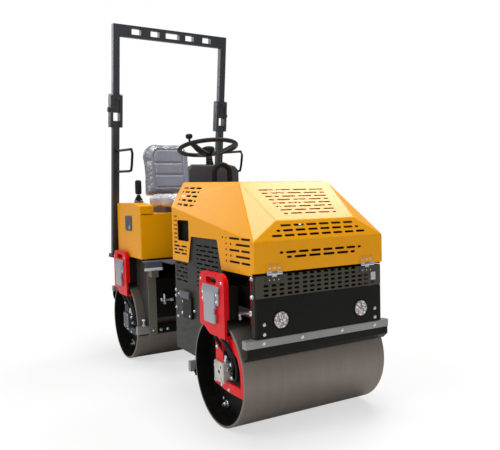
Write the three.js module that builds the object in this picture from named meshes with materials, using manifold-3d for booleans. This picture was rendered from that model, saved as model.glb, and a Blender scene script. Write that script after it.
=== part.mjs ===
// Ride-on tandem vibratory roller: two steel drums carried by two frames that
// hinge at a vertical steering pin, with a tilting engine hood on the front
// frame and the operator's seat and folding roll bar on the rear one.
// Millimetres. The machine's front faces -Y, its left side is +X, +Z is up.
// The origin is on the ground, under the steering pin.
import * as THREE from 'three';
import { ConvexGeometry } from 'three/addons/geometries/ConvexGeometry.js';
import { mergeVertices } from 'three/addons/utils/BufferGeometryUtils.js';
import Module from 'manifold-3d';

const wasm = await Module();
wasm.setup();

const radians = THREE.MathUtils.degToRad;

// ---------------------------------------------------------------- dimensions
// Clearances
const fitGap = 0.3; // between pieces that are bolted together
const runGap = 0.6; // radial, between a pin and its bore
const sideGap = 1; // between faces that slide past each other
const moveGap = 6; // between pieces that only pass each other
const weld = 2; // how deep the joined shapes of one piece run into each other

// Drums
const drumRadius = 280;
const drumWidth = 874;
const drumWall = 14;
const wheelbase = 1524;
const discDepth = 92; // from the rim to the outer face of the end disc
const discThickness = 12;
const discHoleRadius = 34;
const discHoleCircle = 165;
const hubRadius = 60;
const axleRadius = 20;
const axleTubeRadius = 45;
const motorDepth = 25; // from the end disc to the motor's inner face
const motorRadius = 66;
const motorSide = 104; // of the square block outside its round body
const motorBlock = [30, 12]; // how far the block reaches inside and outside the arm's plate
const drumFacets = 48;

const drumHalf = drumWidth / 2;
const axle = wheelbase / 2; // from the steering pin

// Frames: their widths follow the drums' ends, their lengths the axles, and
// their heights build up from the drums' tops.
const frameHalf = drumHalf - 52; // to the outer face of the side plates
const framePlate = 10;
const deckPlate = 8;
const deckHeight = 2 * drumRadius + 44;
const sillHeight = deckHeight + 33;
const frontFrameFoot = drumRadius - 18; // lower edge of the side plates
const rearFrameFoot = drumRadius + 8;
const frameInnerEnd = 98; // from the steering pin to the front frame's rear edge
const frameOuterEnd = axle + drumRadius + 20; // from the steering pin to the frames' outer ends
const archGap = 18; // between the drum and the side plates' arches
const archShoulder = 62; // from the axle to the arch's upper corner
const archStart = 60; // degrees up from the axle, at that corner
const postDepth = 34;
const postWidth = 30;

// Drum arms
const armPlate = 13;
const armOuter = drumHalf + 28; // outer face
const armHalfLength = 141; // along the machine, at the top
const armTop = deckHeight + 191;
const armCorner = 50;
const armPad = 27; // thickness around the tie-down eye
const armBlockFoot = deckHeight - 32;
const armBlockTop = deckHeight + 130;
const armStepHeight = drumRadius + 198; // the plate that passes over the drum's rim
const armStepPlate = 14;
const carrierPlate = 12;
const carrierRecess = 17; // from the rim to the carrier's outer face
const carrierRadius = 240;
const carrierLimb = 32;
const carrierStrip = 84; // width of its straight limb
const tieEyeLength = 116;
const tieEyeHeight = 34;
const tieEyeDrop = 24; // from the arm's top
const tieEyeCorner = 14;
const coverHalf = 92;
const coverDepth = 15;
const coverCorner = 12;

// Steering pin and oscillating yoke
const pinRadius = 25;
const pinHead = [16, 13]; // how far it overhangs the pin, and its thickness
const earThickness = 25;
const earRadius = 62;
const earRootHalf = 120;
const lowerEarBase = frontFrameFoot + 38;
const upperEarBase = deckHeight - 56;
const yokeRadius = 58;
const yokeNeck = [92, 160]; // width and height
const shaftHeight = lowerEarBase + 130;
const shaftRadius = 35;
const shaftNut = [54, 23]; // across-corners radius and thickness
const housingWall = 25;
const housingFront = 132; // from the steering pin

// Steering cylinder, seen from above: base pin on the front frame, rod pin at the yoke's lever
const cylinderHeight = shaftHeight + 10;
const cylinderBase = [-155, -319];
const cylinderTip = [-130, 10];
const barrelRadius = 28;
const rodRadius = 14;
const barrelLength = 238;
const barrelNose = 34; // from the base pin to the round barrel
const rodLength = 195;
const rodBoreStart = 62; // from the base pin
const cylinderEye = 25;
const cylinderPin = 10;
const leverPlate = 16;

// Rear frame's front legs, crossplate and pin housing
const legFront = axle - drumRadius - 102;
const legPlate = 8;
const legWidth = 57;
const legFoot = drumRadius - 58;
const legTop = deckHeight + 86;
const crossplateFoot = drumRadius + 65;
const crossplate = 12;
const gussetWidth = 200;

// Front panels, beams and blades
const bodyFront = frameOuterEnd + 16; // from the steering pin to the hood's front face
const panelDepth = 8;
const panelInset = 4; // behind the hood's face
const panelHalf = frameHalf - 2;
const panelFoot = deckHeight - 106;
const lampPanelTop = deckHeight + 86;
const grilleTop = deckHeight + 195;
const lampRadius = 47;
const lampSpacing = 494;
const lampHeight = deckHeight - 24;
const tailLampHeight = deckHeight + 20;
const lensInset = 7;
const beamHalf = drumHalf + 4;
const beamHeight = 40;
const beamDepth = 40;
const bladeFoot = panelFoot - 76;
const bladePlate = 8;
const bladeReach = 36; // towards the drum
const innerBarHalf = drumHalf + 20;
const innerBarSize = [30, 55]; // depth and height
const innerBarGap = 22; // to the drum

// Engine and what stands around it
const engineHalf = 230;
const engineFromAxle = [138, -402]; // front and rear faces
const engineTop = deckHeight + 296;
const headHalf = 160;
const headInset = 80;
const headTop = deckHeight + 406;
const pumpX = [-340, -250];
const pumpFromEnd = [62, 232]; // from the frame's outer end
const pumpHeight = 126;
const pumpCan = [38, 50]; // radius and height above the block
const bulkheadPlate = 6;
const bulkheadHalf = frameHalf - 12;
const bulkheadTopHalf = 272;
const bulkheadHeights = [deckHeight + 486, deckHeight + 628]; // shoulder and top
const ventPanelTop = deckHeight + 386;
const ventPanelEnd = bodyFront - 330;
const loopHalf = 56;
const loopRadius = 17;
const loopBehindPin = 14; // the loop's plane, ahead of the steering pin
const loopHeights = [deckHeight + 436, deckHeight + 780];
const loopBracket = [deckHeight + 456, deckHeight + 546];

// Hood
const hoodHalf = frameHalf + 10;
const hoodSheet = 3;
const hoodFoot = grilleTop + 1;
const hoodFrontFoot = grilleTop + 13;
const hoodRear = frameInnerEnd - 1; // from the steering pin to its rear edge at the sides
const hoodTopRear = 40;
// Corners of its faceted body: half width, distance ahead of the pin, height above its foot
const hoodNose = [hoodHalf - 154, bodyFront - 44, 253];
const hoodCrest = [hoodHalf - 110, bodyFront - 326, 449];
const hoodRidge = [hoodHalf - 110, hoodTopRear, 470];
const hoodShoulderFront = 159; // heights above its foot
const hoodShoulderRear = 319;
const serviceCut = { foot: [318, bodyFront - 323], top: [371, bodyFront - 377], height: hoodFoot + 153 };
const sideWindow = { length: [180, 343], height: [hoodFoot + 122, hoodFoot + 243], corner: 10 };
const hoodHingeHeight = grilleTop + 7;
const hoodHingeRadius = 6;
const hoodHingeSpacing = 570;
const hoodHingeWidth = 86;
const hoodHingeLeaf = 32; // height of each leaf
const hoodHingeStand = 6; // the pin's line, ahead of the hood's face

// Rear body
const boxHalf = drumHalf - 7;
const boxFront = legFront;
const boxRear = axle + 128;
const boxFoot = deckHeight + 156;
const boxTop = boxFoot + 310;
const boxSheet = 4;
const consoleHeight = 75;
const consoleWidth = 96;
const consoleSlope = [145, 21]; // length and drop of its top's sloping front
const tankHalf = frameHalf + 5;
const tankRear = frameOuterEnd + 8;
const tankBevel = [60, 50];
const fillerRadius = 55;
const fillerX = 200;
const fillerHeight = 34;
const latchLength = [boxFront + 179, boxFront + 315];
const latchHeight = [boxFoot + 188, boxFoot + 294];
const latchDepth = 6;
const latchCorner = 14;

// Floor
const floorHeight = boxFoot - 10;
const floorPlate = 8;
const floorLip = 45;
const lipPlate = 6;
const stepEdgeHeight = 18;
const footwellHalf = boxHalf - 112;
const footwellFront = 100;
const stepFront = legFront - 80;

// Steering console and wheel
const dashHalf = 184;
const dashHeight = 638;
const dashDepth = 140;
const dashFoot = [110, 250]; // depth at the foot, and how high it widens
const dashBevel = 50;
const columnRadius = 22;
const columnSpan = [62, 160]; // below the wheel's centre
const wheelCentre = [0, 190, floorHeight + 760];
const wheelTilt = radians(11);
const wheelRadius = 193;
const wheelRim = 14;
const wheelHub = [44, 60]; // radius and depth
const wheelSpoke = [34, 10]; // width and thickness
const knobAngle = radians(207);
const knobRadius = 24;
const knobHeight = 48;
const knobStem = 12;

// Travel lever
const leverX = 60 - boxHalf;
const leverY = boxFront + 190;
const leverBase = [44, 80, 12];
const leverStem = 7;
const leverGrip = [44, 42, 102];
const leverGripFoot = 58;

// Seat
const seatOffset = -20;
const seatWidth = 450;
const seatDepth = 380;
const seatRear = boxFront + 440;
const seatCorner = 70;
const cushionBase = boxTop + 38;
const cushionHeight = 92;
const backWidth = 400;
const backHeight = 420;
const backCorner = 110;
const backThickness = 90;
const backLean = radians(12);
const seatPedestal = [40, 50]; // how far it stands in from the cushion's sides and ends
const bracketHalf = 60;
const bracketPlate = 12;
const bracketDrop = 110; // below the back's foot, and above it
const bracketRise = 160;

// Roll bar
const barLean = radians(7);
const barFoot = [axle + 216, boxFoot - 15]; // Y and Z of the posts' centre at the foot
const barTop = barFoot[1] + 1695;
const postCentre = boxHalf + 3;
const postSide = 48;
const footPlate = 14;
const footHalf = 42;
const forkPlate = 20;
const foldHeight = barFoot[1] + 1088;
const forkFoot = foldHeight - 127;
const forkTop = foldHeight + 113;
const lowerPostTop = foldHeight - 79;
const upperPostFoot = foldHeight - 20;
const forkLip = 8; // how far the fork's plates stand out ahead of the post
const foldPin = 10;
const foldHead = [17, 14]; // radius and thickness
const crossbarHeight = 85;
const crossbarRims = [22, 18]; // below and above its windows
// Windows of the crossbar: centre and width
const crossbarWindows = [[0, 110], [140, 70], [-140, 70], [285, 72], [-285, 72]];
// Grab handle: its two front corners from the posts' foot [Y, Z], and the heights where it meets the post
const handleCorners = [[-494, 771], [-458, 622]];
const handleHeights = [788, 634];
const handleRadius = 9;

// ----------------------------------------------------------------- materials
const finish = (color, roughness, metalness) => ({ color, roughness, metalness });
const yellowPaint = finish(0xd89200, 0.35, 0.1);
const redPaint = finish(0xd81e1e, 0.35, 0.1);
const frameGrey = finish(0x4b483e, 0.5, 0.2);
const blackPaint = finish(0x16171a, 0.45, 0.2);
const barPaint = finish(0x2b2d34, 0.4, 0.2);
const beamGrey = finish(0x8c8e90, 0.45, 0.5);
const drumSteel = finish(0x78716c, 0.55, 0.6);
const brightSteel = finish(0xb9bcc2, 0.3, 0.9);
const castGrey = finish(0xa5a5a5, 0.55, 0.5);
const coverSilver = finish(0xaeb0bb, 0.4, 0.4);
const darkPlastic = finish(0x303136, 0.6, 0);
const rubber = finish(0x141414, 0.85, 0);
const seatVinyl = finish(0x9a9ba6, 0.45, 0);
const lampLens = finish(0xe6e8ea, 0.15, 0);
const redLens = finish(0xb01818, 0.2, 0);

// ------------------------------------------------------------------- helpers
const axisX = new THREE.Vector3(1, 0, 0);
const axisY = new THREE.Vector3(0, 1, 0);
const axisZ = new THREE.Vector3(0, 0, 1);

// A three.js mesh geometry as a solid, without seams or zero-area triangles.
function toSolid(geometry) {
  const bare = geometry.index ? geometry.toNonIndexed() : geometry.clone();
  bare.deleteAttribute('normal');
  bare.deleteAttribute('uv');
  const merged = mergeVertices(bare, 1e-3);
  const corners = [];
  for (let i = 0; i < merged.index.count; i += 3) {
    const [a, b, c] = merged.index.array.slice(i, i + 3);
    if (a !== b && b !== c && c !== a) corners.push(a, b, c);
  }
  return new wasm.Manifold(new wasm.Mesh({
    numProp: 3,
    vertProperties: new Float32Array(merged.attributes.position.array),
    triVerts: new Uint32Array(corners),
  }));
}

function toGeometry(solid) {
  const mesh = solid.getMesh();
  const geometry = new THREE.BufferGeometry();
  geometry.setAttribute('position', new THREE.BufferAttribute(new Float32Array(mesh.vertProperties), 3));
  geometry.setIndex(new THREE.BufferAttribute(new Uint32Array(mesh.triVerts), 1));
  return geometry;
}

const join = (...pieces) => toGeometry(pieces.map(toSolid).reduce((sum, piece) => sum.add(piece)));
const cut = (body, ...tools) => toGeometry(
  tools.map(toSolid).reduce((rest, tool) => rest.subtract(tool), toSolid(body)));

function box([x0, x1], [y0, y1], [z0, z1]) {
  const geometry = new THREE.BoxGeometry(Math.abs(x1 - x0), Math.abs(y1 - y0), Math.abs(z1 - z0));
  return geometry.translate((x0 + x1) / 2, (y0 + y1) / 2, (z0 + z1) / 2);
}

// Points of a closed outline, always anticlockwise.
function loopPoints(outline) {
  const points = outline.map(([u, v]) => new THREE.Vector2(u, v));
  return THREE.ShapeUtils.area(points) < 0 ? points.reverse() : points;
}

function extrude(outline, depth, holes) {
  const shape = new THREE.Shape(loopPoints(outline));
  shape.holes = holes.map((hole) => new THREE.Path(loopPoints(hole)));
  return new THREE.ExtrudeGeometry(shape, { depth, bevelEnabled: false });
}

// Plates cut from an outline: [y, z] drawn out along X, [x, z] along Y, [x, y] along Z.
function plateX(outline, span, holes = []) {
  const [x0, x1] = [Math.min(...span), Math.max(...span)];
  const basis = new THREE.Matrix4().makeBasis(axisY, axisZ, axisX);
  return extrude(outline, x1 - x0, holes).applyMatrix4(basis).translate(x0, 0, 0);
}

function plateY(outline, span, holes = []) {
  const [y0, y1] = [Math.min(...span), Math.max(...span)];
  const basis = new THREE.Matrix4().makeBasis(axisX, axisZ, axisY.clone().negate());
  return extrude(outline, y1 - y0, holes).applyMatrix4(basis).translate(0, y1, 0);
}

const plateZ = (outline, [z0, z1], holes = []) => extrude(outline, z1 - z0, holes).translate(0, 0, z0);

// Points on an arc, angles in degrees from the outline's first axis.
function arc([u, v], radius, from, to, steps) {
  const points = [];
  for (let i = 0; i <= steps; i += 1) {
    const angle = radians(from + ((to - from) * i) / steps);
    points.push([u + radius * Math.cos(angle), v + radius * Math.sin(angle)]);
  }
  return points;
}

const circle = (centre, radius, steps) => arc(centre, radius, 0, 360, steps).slice(0, -1);
const rectangle = ([u0, u1], [v0, v1]) => [[u0, v0], [u1, v0], [u1, v1], [u0, v1]];

function roundedRectangle([u0, u1], [v0, v1], radius, steps = 4) {
  return [
    ...arc([u1 - radius, v1 - radius], radius, 0, 90, steps),
    ...arc([u0 + radius, v1 - radius], radius, 90, 180, steps),
    ...arc([u0 + radius, v0 + radius], radius, 180, 270, steps),
    ...arc([u1 - radius, v0 + radius], radius, 270, 360, steps),
  ];
}

// A round bar between two points.
function bar(from, to, radius, facets = 20) {
  const start = new THREE.Vector3(...from);
  const span = new THREE.Vector3(...to).sub(start);
  const geometry = new THREE.CylinderGeometry(radius, radius, span.length(), facets);
  geometry.translate(0, span.length() / 2, 0);
  geometry.applyQuaternion(new THREE.Quaternion().setFromUnitVectors(axisY, span.normalize()));
  return geometry.translate(start.x, start.y, start.z);
}

// A turned body along X from [x, radius] points; a profile off the axis closes on itself.
function turned(profile, facets) {
  const points = profile.map(([x, radius]) => new THREE.Vector2(radius, x));
  if (THREE.ShapeUtils.area(points) < 0) points.reverse();
  return toGeometry(toSolid(new THREE.LatheGeometry(points, facets).rotateZ(-Math.PI / 2)));
}

// A round tube through points, with rounded corners.
function bentTube(points, radius, steps, facets = 10) {
  const path = new THREE.CurvePath();
  const stops = points.map((point) => new THREE.Vector3(...point));
  const bend = radius * 3;
  let last = stops[0];
  for (let i = 1; i < stops.length - 1; i += 1) {
    const before = stops[i].clone().add(stops[i - 1].clone().sub(stops[i]).setLength(bend));
    const after = stops[i].clone().add(stops[i + 1].clone().sub(stops[i]).setLength(bend));
    path.add(new THREE.LineCurve3(last, before));
    path.add(new THREE.QuadraticBezierCurve3(before, stops[i], after));
    last = after;
  }
  path.add(new THREE.LineCurve3(last, stops[stops.length - 1]));
  const section = new THREE.Shape(loopPoints(circle([0, 0], radius, facets)));
  return new THREE.ExtrudeGeometry(section, { steps, extrudePath: path, curveSegments: 1 });
}

function part(group, name, geometry, look) {
  const mesh = new THREE.Mesh(geometry, new THREE.MeshStandardMaterial(look));
  mesh.name = name;
  group.add(mesh);
}

const machine = new THREE.Group();
const rearModule = new THREE.Group();
const frontModule = new THREE.Group();
machine.add(rearModule, frontModule);

const sides = [
  { name: 'left', sign: 1 },
  { name: 'right', sign: -1 },
];
const ends = [
  { name: 'front', sign: -1, module: frontModule },
  { name: 'rear', sign: 1, module: rearModule },
];
// A span given outwards from the centre, on either side of it.
const outward = (sign, from, to) => (sign > 0 ? [from, to] : [-to, -from]);

// --------------------------------------------------------------------- drums
const discFace = drumHalf - discDepth;
const carrierOuter = drumHalf - carrierRecess;
const carrierInner = carrierOuter - carrierPlate;
const motorInner = discFace + motorDepth;

function addDrum({ name, sign, module }) {
  const drum = new THREE.Group();
  drum.position.set(0, sign * axle, drumRadius);
  module.add(drum);
  const inner = drumRadius - drumWall;
  const discInner = discFace - discThickness;
  const hubFace = motorInner - moveGap;
  const axleEnd = carrierInner - moveGap / 2;
  const half = [
    [discInner, axleTubeRadius], [discInner, inner + weld], [discFace, inner + weld], [discFace, hubRadius],
    [hubFace, hubRadius], [hubFace, axleRadius], [axleEnd, axleRadius], [axleEnd, 0],
  ];
  const other = half.map(([x, radius]) => [-x, radius]).reverse();
  const shell = turned([
    [-drumHalf, inner], [-drumHalf, drumRadius], [drumHalf, drumRadius], [drumHalf, inner],
    [-drumHalf, inner],
  ], drumFacets);
  const accessHoles = [90, 210, 330].map((degrees) => {
    const [y, z] = [discHoleCircle * Math.cos(radians(degrees)), discHoleCircle * Math.sin(radians(degrees))];
    return bar([-drumHalf, y, z], [drumHalf, y, z], discHoleRadius, 12);
  });
  const core = turned([...other, ...half], drumFacets);
  part(drum, `${name}_drum`, cut(join(shell, core), ...accessHoles), drumSteel);
}

// ---------------------------------------------------- drum arms, motors, covers
// The plate that holds the motor inside the drum's end is drawn around the axle.
const motorHalf = motorSide / 2;
const carrierTop = armStepHeight - drumRadius - fitGap;
const carrierLower = [motorHalf + 20, -motorHalf - 20]; // its lower rear corner
const stripRear = motorHalf + 2; // the straight limb's rear edge
const stripFront = stripRear - carrierStrip;

function carrierOutline() {
  return [
    [-armHalfLength, carrierTop], ...arc([0, 0], carrierRadius, 129, 200, 10),
    [-motorHalf - 18, -motorHalf - 34], carrierLower, [motorHalf + 20, motorHalf - 12],
    [stripRear, motorHalf + 8], [stripRear, carrierTop],
  ];
}

// The window between the curved limb and the straight one, for the motor's hoses. It opens
// into the square notch that the motor's block stands in.
function carrierWindow() {
  const inside = motorHalf - 2;
  return [
    [stripFront, carrierTop - 48], [-armHalfLength + 41, carrierTop - 58],
    ...arc([0, 0], carrierRadius - carrierLimb, 148, 190, 6),
    [-inside, -38], [-inside, inside], [stripFront, inside],
  ];
}

function addArms({ name: end, sign: ahead, module }) {
  const axleY = ahead * axle;
  const place = (points) => points.map(([u, v]) => [axleY + u, drumRadius + v]);
  const length = [axleY - armHalfLength, axleY + armHalfLength];
  const plateInner = armOuter - armPlate;
  const padInner = armOuter - armPad;
  const topCorners = [
    ...arc([length[1] - armCorner, armTop - armCorner], armCorner, 0, 90, 4),
    ...arc([length[0] + armCorner, armTop - armCorner], armCorner, 90, 180, 4),
  ];
  const eyeTop = armTop - tieEyeDrop;
  const eye = roundedRectangle([axleY - tieEyeLength / 2, axleY + tieEyeLength / 2],
    [eyeTop - tieEyeHeight, eyeTop], tieEyeCorner);
  for (const { name: side, sign } of sides) {
    const foot = (height) => [[length[0], height], [length[1], height]];
    const outer = plateX([...foot(armStepHeight), ...topCorners], outward(sign, plateInner, armOuter), [eye]);
    const pad = plateX([...foot(armBlockFoot), ...topCorners], outward(sign, padInner, plateInner), [eye]);
    const block = box(outward(sign, frameHalf + fitGap, padInner), length, [armBlockFoot, armBlockTop]);
    const hollow = box(outward(sign, frameHalf + armPlate, padInner + sideGap),
      [length[0] + armPlate, length[1] - armPlate], [armBlockFoot - sideGap, armBlockTop - armPlate]);
    const step = box(outward(sign, carrierInner, armOuter), length,
      [armStepHeight, armStepHeight + armStepPlate]);
    const shoulder = box(outward(sign, carrierInner, carrierOuter), length,
      [armStepHeight - weld, armStepHeight + weld]);
    const carrier = plateX(place(carrierOutline()), outward(sign, carrierInner, carrierOuter),
      [place(carrierWindow())]);
    const notchHalf = motorHalf + fitGap;
    const notch = box(outward(sign, carrierInner - weld, carrierOuter + weld),
      [axleY - notchHalf, axleY + notchHalf], [drumRadius - notchHalf, drumRadius + notchHalf]);
    part(module, `${end}_arm_${side}`,
      cut(join(cut(block, hollow), pad, outer, step, shoulder, carrier), notch), redPaint);
    addMotor(module, `${end}_motor_${side}`, sign, axleY);
    part(module, `${end}_isolator_cover_${side}`,
      plateX(roundedRectangle([axleY - coverHalf, axleY + coverHalf],
        [armStepHeight + 40, eyeTop - tieEyeHeight - 6], coverCorner),
      outward(sign, armOuter + fitGap, armOuter + coverDepth)), coverSilver);
  }
}

// A hub motor: a round body inside the drum and a square block that stands in the arm's
// notch, bored for the drum's stub axle.
function addMotor(module, name, sign, axleY) {
  const [blockInside, blockOutside] = motorBlock;
  const seat = carrierInner - blockInside;
  const body = bar([sign * motorInner, 0, 0], [sign * (seat + weld), 0, 0], motorRadius, 24);
  const block = box(outward(sign, seat, carrierOuter + blockOutside),
    [-motorHalf, motorHalf], [-motorHalf, motorHalf]);
  const bore = bar([sign * (motorInner - weld), 0, 0], [sign * (carrierInner + weld), 0, 0],
    axleRadius + runGap, drumFacets);
  const motor = new THREE.Group();
  motor.position.set(0, axleY, drumRadius);
  module.add(motor);
  part(motor, name, cut(join(body, block), bore), castGrey);
}

// -------------------------------------------------------- pieces of both frames
const archRadius = drumRadius + archGap;
const deckSpan = [deckHeight - deckPlate, deckHeight];

// The two side plates, from the inner end beside the hinge out over the drum.
function frameSides(ahead, innerEnd, foot) {
  const archEnd = THREE.MathUtils.radToDeg(Math.asin((foot - drumRadius) / archRadius));
  const outline = [
    [-innerEnd, foot], [-innerEnd, sillHeight], [-frameOuterEnd, sillHeight], [-frameOuterEnd, deckSpan[0]],
    [archShoulder - axle, deckSpan[0]], ...arc([-axle, drumRadius], archRadius, archStart, archEnd, 6),
  ].map(([y, z]) => [-ahead * y, z]);
  return sides.map(({ sign }) => plateX(outline, outward(sign, frameHalf - framePlate, frameHalf)));
}

const frameDeck = (ahead, innerEnd) => box(
  [-frameHalf, frameHalf], outward(ahead, innerEnd, frameOuterEnd), deckSpan);

// Posts at the frame's outer corners, behind the end panels.
const framePosts = (ahead, top) => sides.map(({ sign }) => box(
  outward(sign, frameHalf - postWidth, frameHalf),
  outward(ahead, frameOuterEnd - postDepth, frameOuterEnd), [panelFoot + fitGap, top]));

// A beam across the end of a frame with the outer scraper blade under it, and the inner
// scraper's bar under the side plates on the drum's other side.
function addScrapers({ name, sign, module }) {
  const outer = bodyFront - 2 * panelInset;
  part(module, `${name}_beam`, box([-beamHalf, beamHalf], outward(sign, outer - beamDepth, outer),
    [panelFoot - beamHeight, panelFoot]), beamGrey);
  const place = (points) => points.map(([u, v]) => [sign * u, v]);
  const bladeHalf = drumHalf - weld;
  const top = panelFoot - beamHeight - fitGap;
  part(module, `${name}_scraper`, plateX(place([
    [outer, top], [outer - bladePlate, top], [outer - bladePlate, bladeFoot + 4],
    [outer - bladeReach, bladeFoot - 22], [outer - bladeReach + 5, bladeFoot - 28], [outer, bladeFoot],
  ]), [-bladeHalf, bladeHalf]), blackPaint);
  const [barDepth, barHeight] = innerBarSize;
  const barTopZ = (sign < 0 ? frontFrameFoot : rearFrameFoot) - fitGap;
  const barOuter = axle - drumRadius - innerBarGap;
  const barSpan = outward(sign, barOuter - barDepth, barOuter);
  const barFootZ = barTopZ - barHeight;
  const tip = barOuter + innerBarGap - weld;
  const innerBlade = plateX(place([
    [barOuter - bladePlate, barFootZ + bladePlate], [barOuter, barFootZ + bladePlate],
    [tip, barFootZ - 15], [tip - 4, barFootZ - 21], [barOuter - bladePlate, barFootZ - 1],
  ]), [-bladeHalf, bladeHalf]);
  const crossBar = box([-innerBarHalf, innerBarHalf], barSpan, [barFootZ, barTopZ]);
  part(module, `${name}_inner_scraper`, join(crossBar, innerBlade), beamGrey);
}

// --------------------------------------------------------------- front frame
function hingeEar(base) {
  const root = [[-earRootHalf, -frameInnerEnd], [earRootHalf, -frameInnerEnd]];
  return plateZ([...root, ...arc([0, 0], earRadius, 0, 180, 12)], [base, base + earThickness],
    [circle([0, 0], pinRadius + fitGap, 24)]);
}

function addFrontFrame() {
  const [baseX, baseY] = cylinderBase;
  const plateSpan = [-frameInnerEnd - framePlate, -frameInnerEnd];
  const lightening = sides.map(({ sign }) => box(outward(sign, yokeRadius + 8, 300),
    [plateSpan[0] - weld, plateSpan[1] + weld], [lowerEarBase + 50, upperEarBase - 12]));
  const crossWall = cut(box([-frameHalf, frameHalf], plateSpan, [frontFrameFoot, deckHeight]), ...lightening);
  const bracketFoot = cylinderHeight + barrelRadius / 2 + 4;
  const bracketHalf = cylinderEye + 1;
  const bracket = box([baseX - bracketHalf, baseX + bracketHalf], [baseY - bracketHalf, baseY + bracketHalf],
    [bracketFoot, deckHeight - weld]);
  const basePin = bar([baseX, baseY, bracketFoot + weld], [baseX, baseY, cylinderHeight - 20], cylinderPin);
  part(frontModule, 'front_frame', join(
    ...frameSides(-1, frameInnerEnd, frontFrameFoot), frameDeck(-1, frameInnerEnd), crossWall,
    hingeEar(lowerEarBase), hingeEar(upperEarBase), ...framePosts(-1, grilleTop), bracket, basePin,
  ), frameGrey);
  const head = upperEarBase + earThickness + fitGap;
  part(frontModule, 'articulation_pin', join(
    bar([0, 0, lowerEarBase - 16], [0, 0, head + weld], pinRadius, 24),
    bar([0, 0, head], [0, 0, head + pinHead[1]], pinRadius + pinHead[0], 24)), brightSteel);
}

// A panel across the end of a frame, holed for its two lamps.
function endPanel(ahead, height, top) {
  const holes = sides.map(({ sign }) => circle([(sign * lampSpacing) / 2, height], lampRadius + sideGap, 24));
  const face = outward(ahead, bodyFront - panelInset - panelDepth, bodyFront - panelInset);
  return plateY(rectangle([-panelHalf, panelHalf], [panelFoot + 2, top]), face, holes);
}

// A lamp's bowl and the lens that stands out of it.
function lamp(ahead, x, height, lensFace) {
  const rim = bodyFront - panelInset + lensInset - sideGap;
  return join(
    bar([x, ahead * (frameOuterEnd + sideGap), height], [x, ahead * rim, height], lampRadius, 24),
    bar([x, ahead * (rim - weld), height], [x, ahead * lensFace, height], lampRadius - lensInset, 24));
}

function addFrontPanels() {
  const face = outward(-1, bodyFront - panelInset - panelDepth, bodyFront - panelInset);
  part(frontModule, 'lamp_panel', endPanel(-1, lampHeight, lampPanelTop), blackPaint);
  part(frontModule, 'grille_panel',
    box([-panelHalf, panelHalf], face, [lampPanelTop + 2, grilleTop]), frameGrey);
  const ventPanel = rectangle([-frameInnerEnd - moveGap, -ventPanelEnd], [sillHeight + fitGap, ventPanelTop]);
  for (const { name, sign } of sides) {
    part(frontModule, `headlight_${name}`,
      lamp(-1, (sign * lampSpacing) / 2, lampHeight, bodyFront + panelInset), lampLens);
    part(frontModule, `vent_panel_${name}`,
      plateX(ventPanel, outward(sign, frameHalf - framePlate, frameHalf)), frameGrey);
    addHoodHinge(`hood_hinge_${name}`, (sign * hoodHingeSpacing) / 2);
  }
}

// The hinge's fixed half: a leaf on the grille panel and the middle knuckle.
const hingePinY = -bodyFront - hoodHingeStand;
const middleKnuckle = hoodHingeWidth / 6;

function addHoodHinge(name, centre) {
  const half = hoodHingeWidth / 2;
  const face = -bodyFront + panelInset;
  const leafTop = hoodHingeHeight - 2 * hoodHingeRadius;
  const knuckle = [centre - middleKnuckle, centre + middleKnuckle];
  const knuckleEnds = knuckle.map((x) => [x, hingePinY, hoodHingeHeight]);
  part(frontModule, name, join(
    box([centre - half, centre + half], [face - 5, face - fitGap], [leafTop - hoodHingeLeaf, leafTop]),
    box(knuckle, [face - 9, face - 4], [leafTop - sideGap, hoodHingeHeight]),
    bar(...knuckleEnds, hoodHingeRadius, 16)), brightSteel);
}

// -------------------------------------------------- engine, bulkhead, lifting loop
function addEngine() {
  const [front, rear] = engineFromAxle.map((distance) => -axle - distance);
  const onDeck = deckHeight + fitGap;
  part(frontModule, 'engine_block', join(
    box([-engineHalf, engineHalf], [front, rear], [onDeck, engineTop]),
    box([-headHalf, headHalf], [front + headInset, rear - headInset], [engineTop - weld, headTop])),
  blackPaint);
  const pumpY = pumpFromEnd.map((distance) => distance - frameOuterEnd);
  const pumpTop = deckHeight + pumpHeight;
  const canCentre = [(pumpX[0] + pumpX[1]) / 2, (pumpY[0] + pumpY[1]) / 2];
  part(frontModule, 'hydraulic_pump', join(
    box(pumpX, pumpY, [onDeck, pumpTop]),
    bar([...canCentre, pumpTop - 30], [...canCentre, pumpTop + pumpCan[1]], pumpCan[0])), blackPaint);
}

function addBulkhead() {
  const rear = -frameInnerEnd - moveGap;
  const [shoulder, top] = bulkheadHeights;
  part(frontModule, 'engine_bulkhead', plateY([
    [-bulkheadHalf, deckHeight + fitGap], [bulkheadHalf, deckHeight + fitGap], [bulkheadHalf, shoulder],
    [bulkheadTopHalf, top], [-bulkheadTopHalf, top], [-bulkheadHalf, shoulder],
  ], [rear - bulkheadPlate, rear]), frameGrey);
  const [foot, crown] = loopHeights;
  const legs = [[-loopHalf, foot], [-loopHalf, crown], [loopHalf, crown], [loopHalf, foot]];
  const loop = bentTube(legs.map(([x, z]) => [x, -loopBehindPin, z]), loopRadius, 26);
  const brackets = sides.map(({ sign }) => box(outward(sign, loopHalf - 14, loopHalf + 16),
    [rear + fitGap, -loopBehindPin - 4], loopBracket));
  part(frontModule, 'lifting_loop', join(loop, ...brackets), blackPaint);
}

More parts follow.
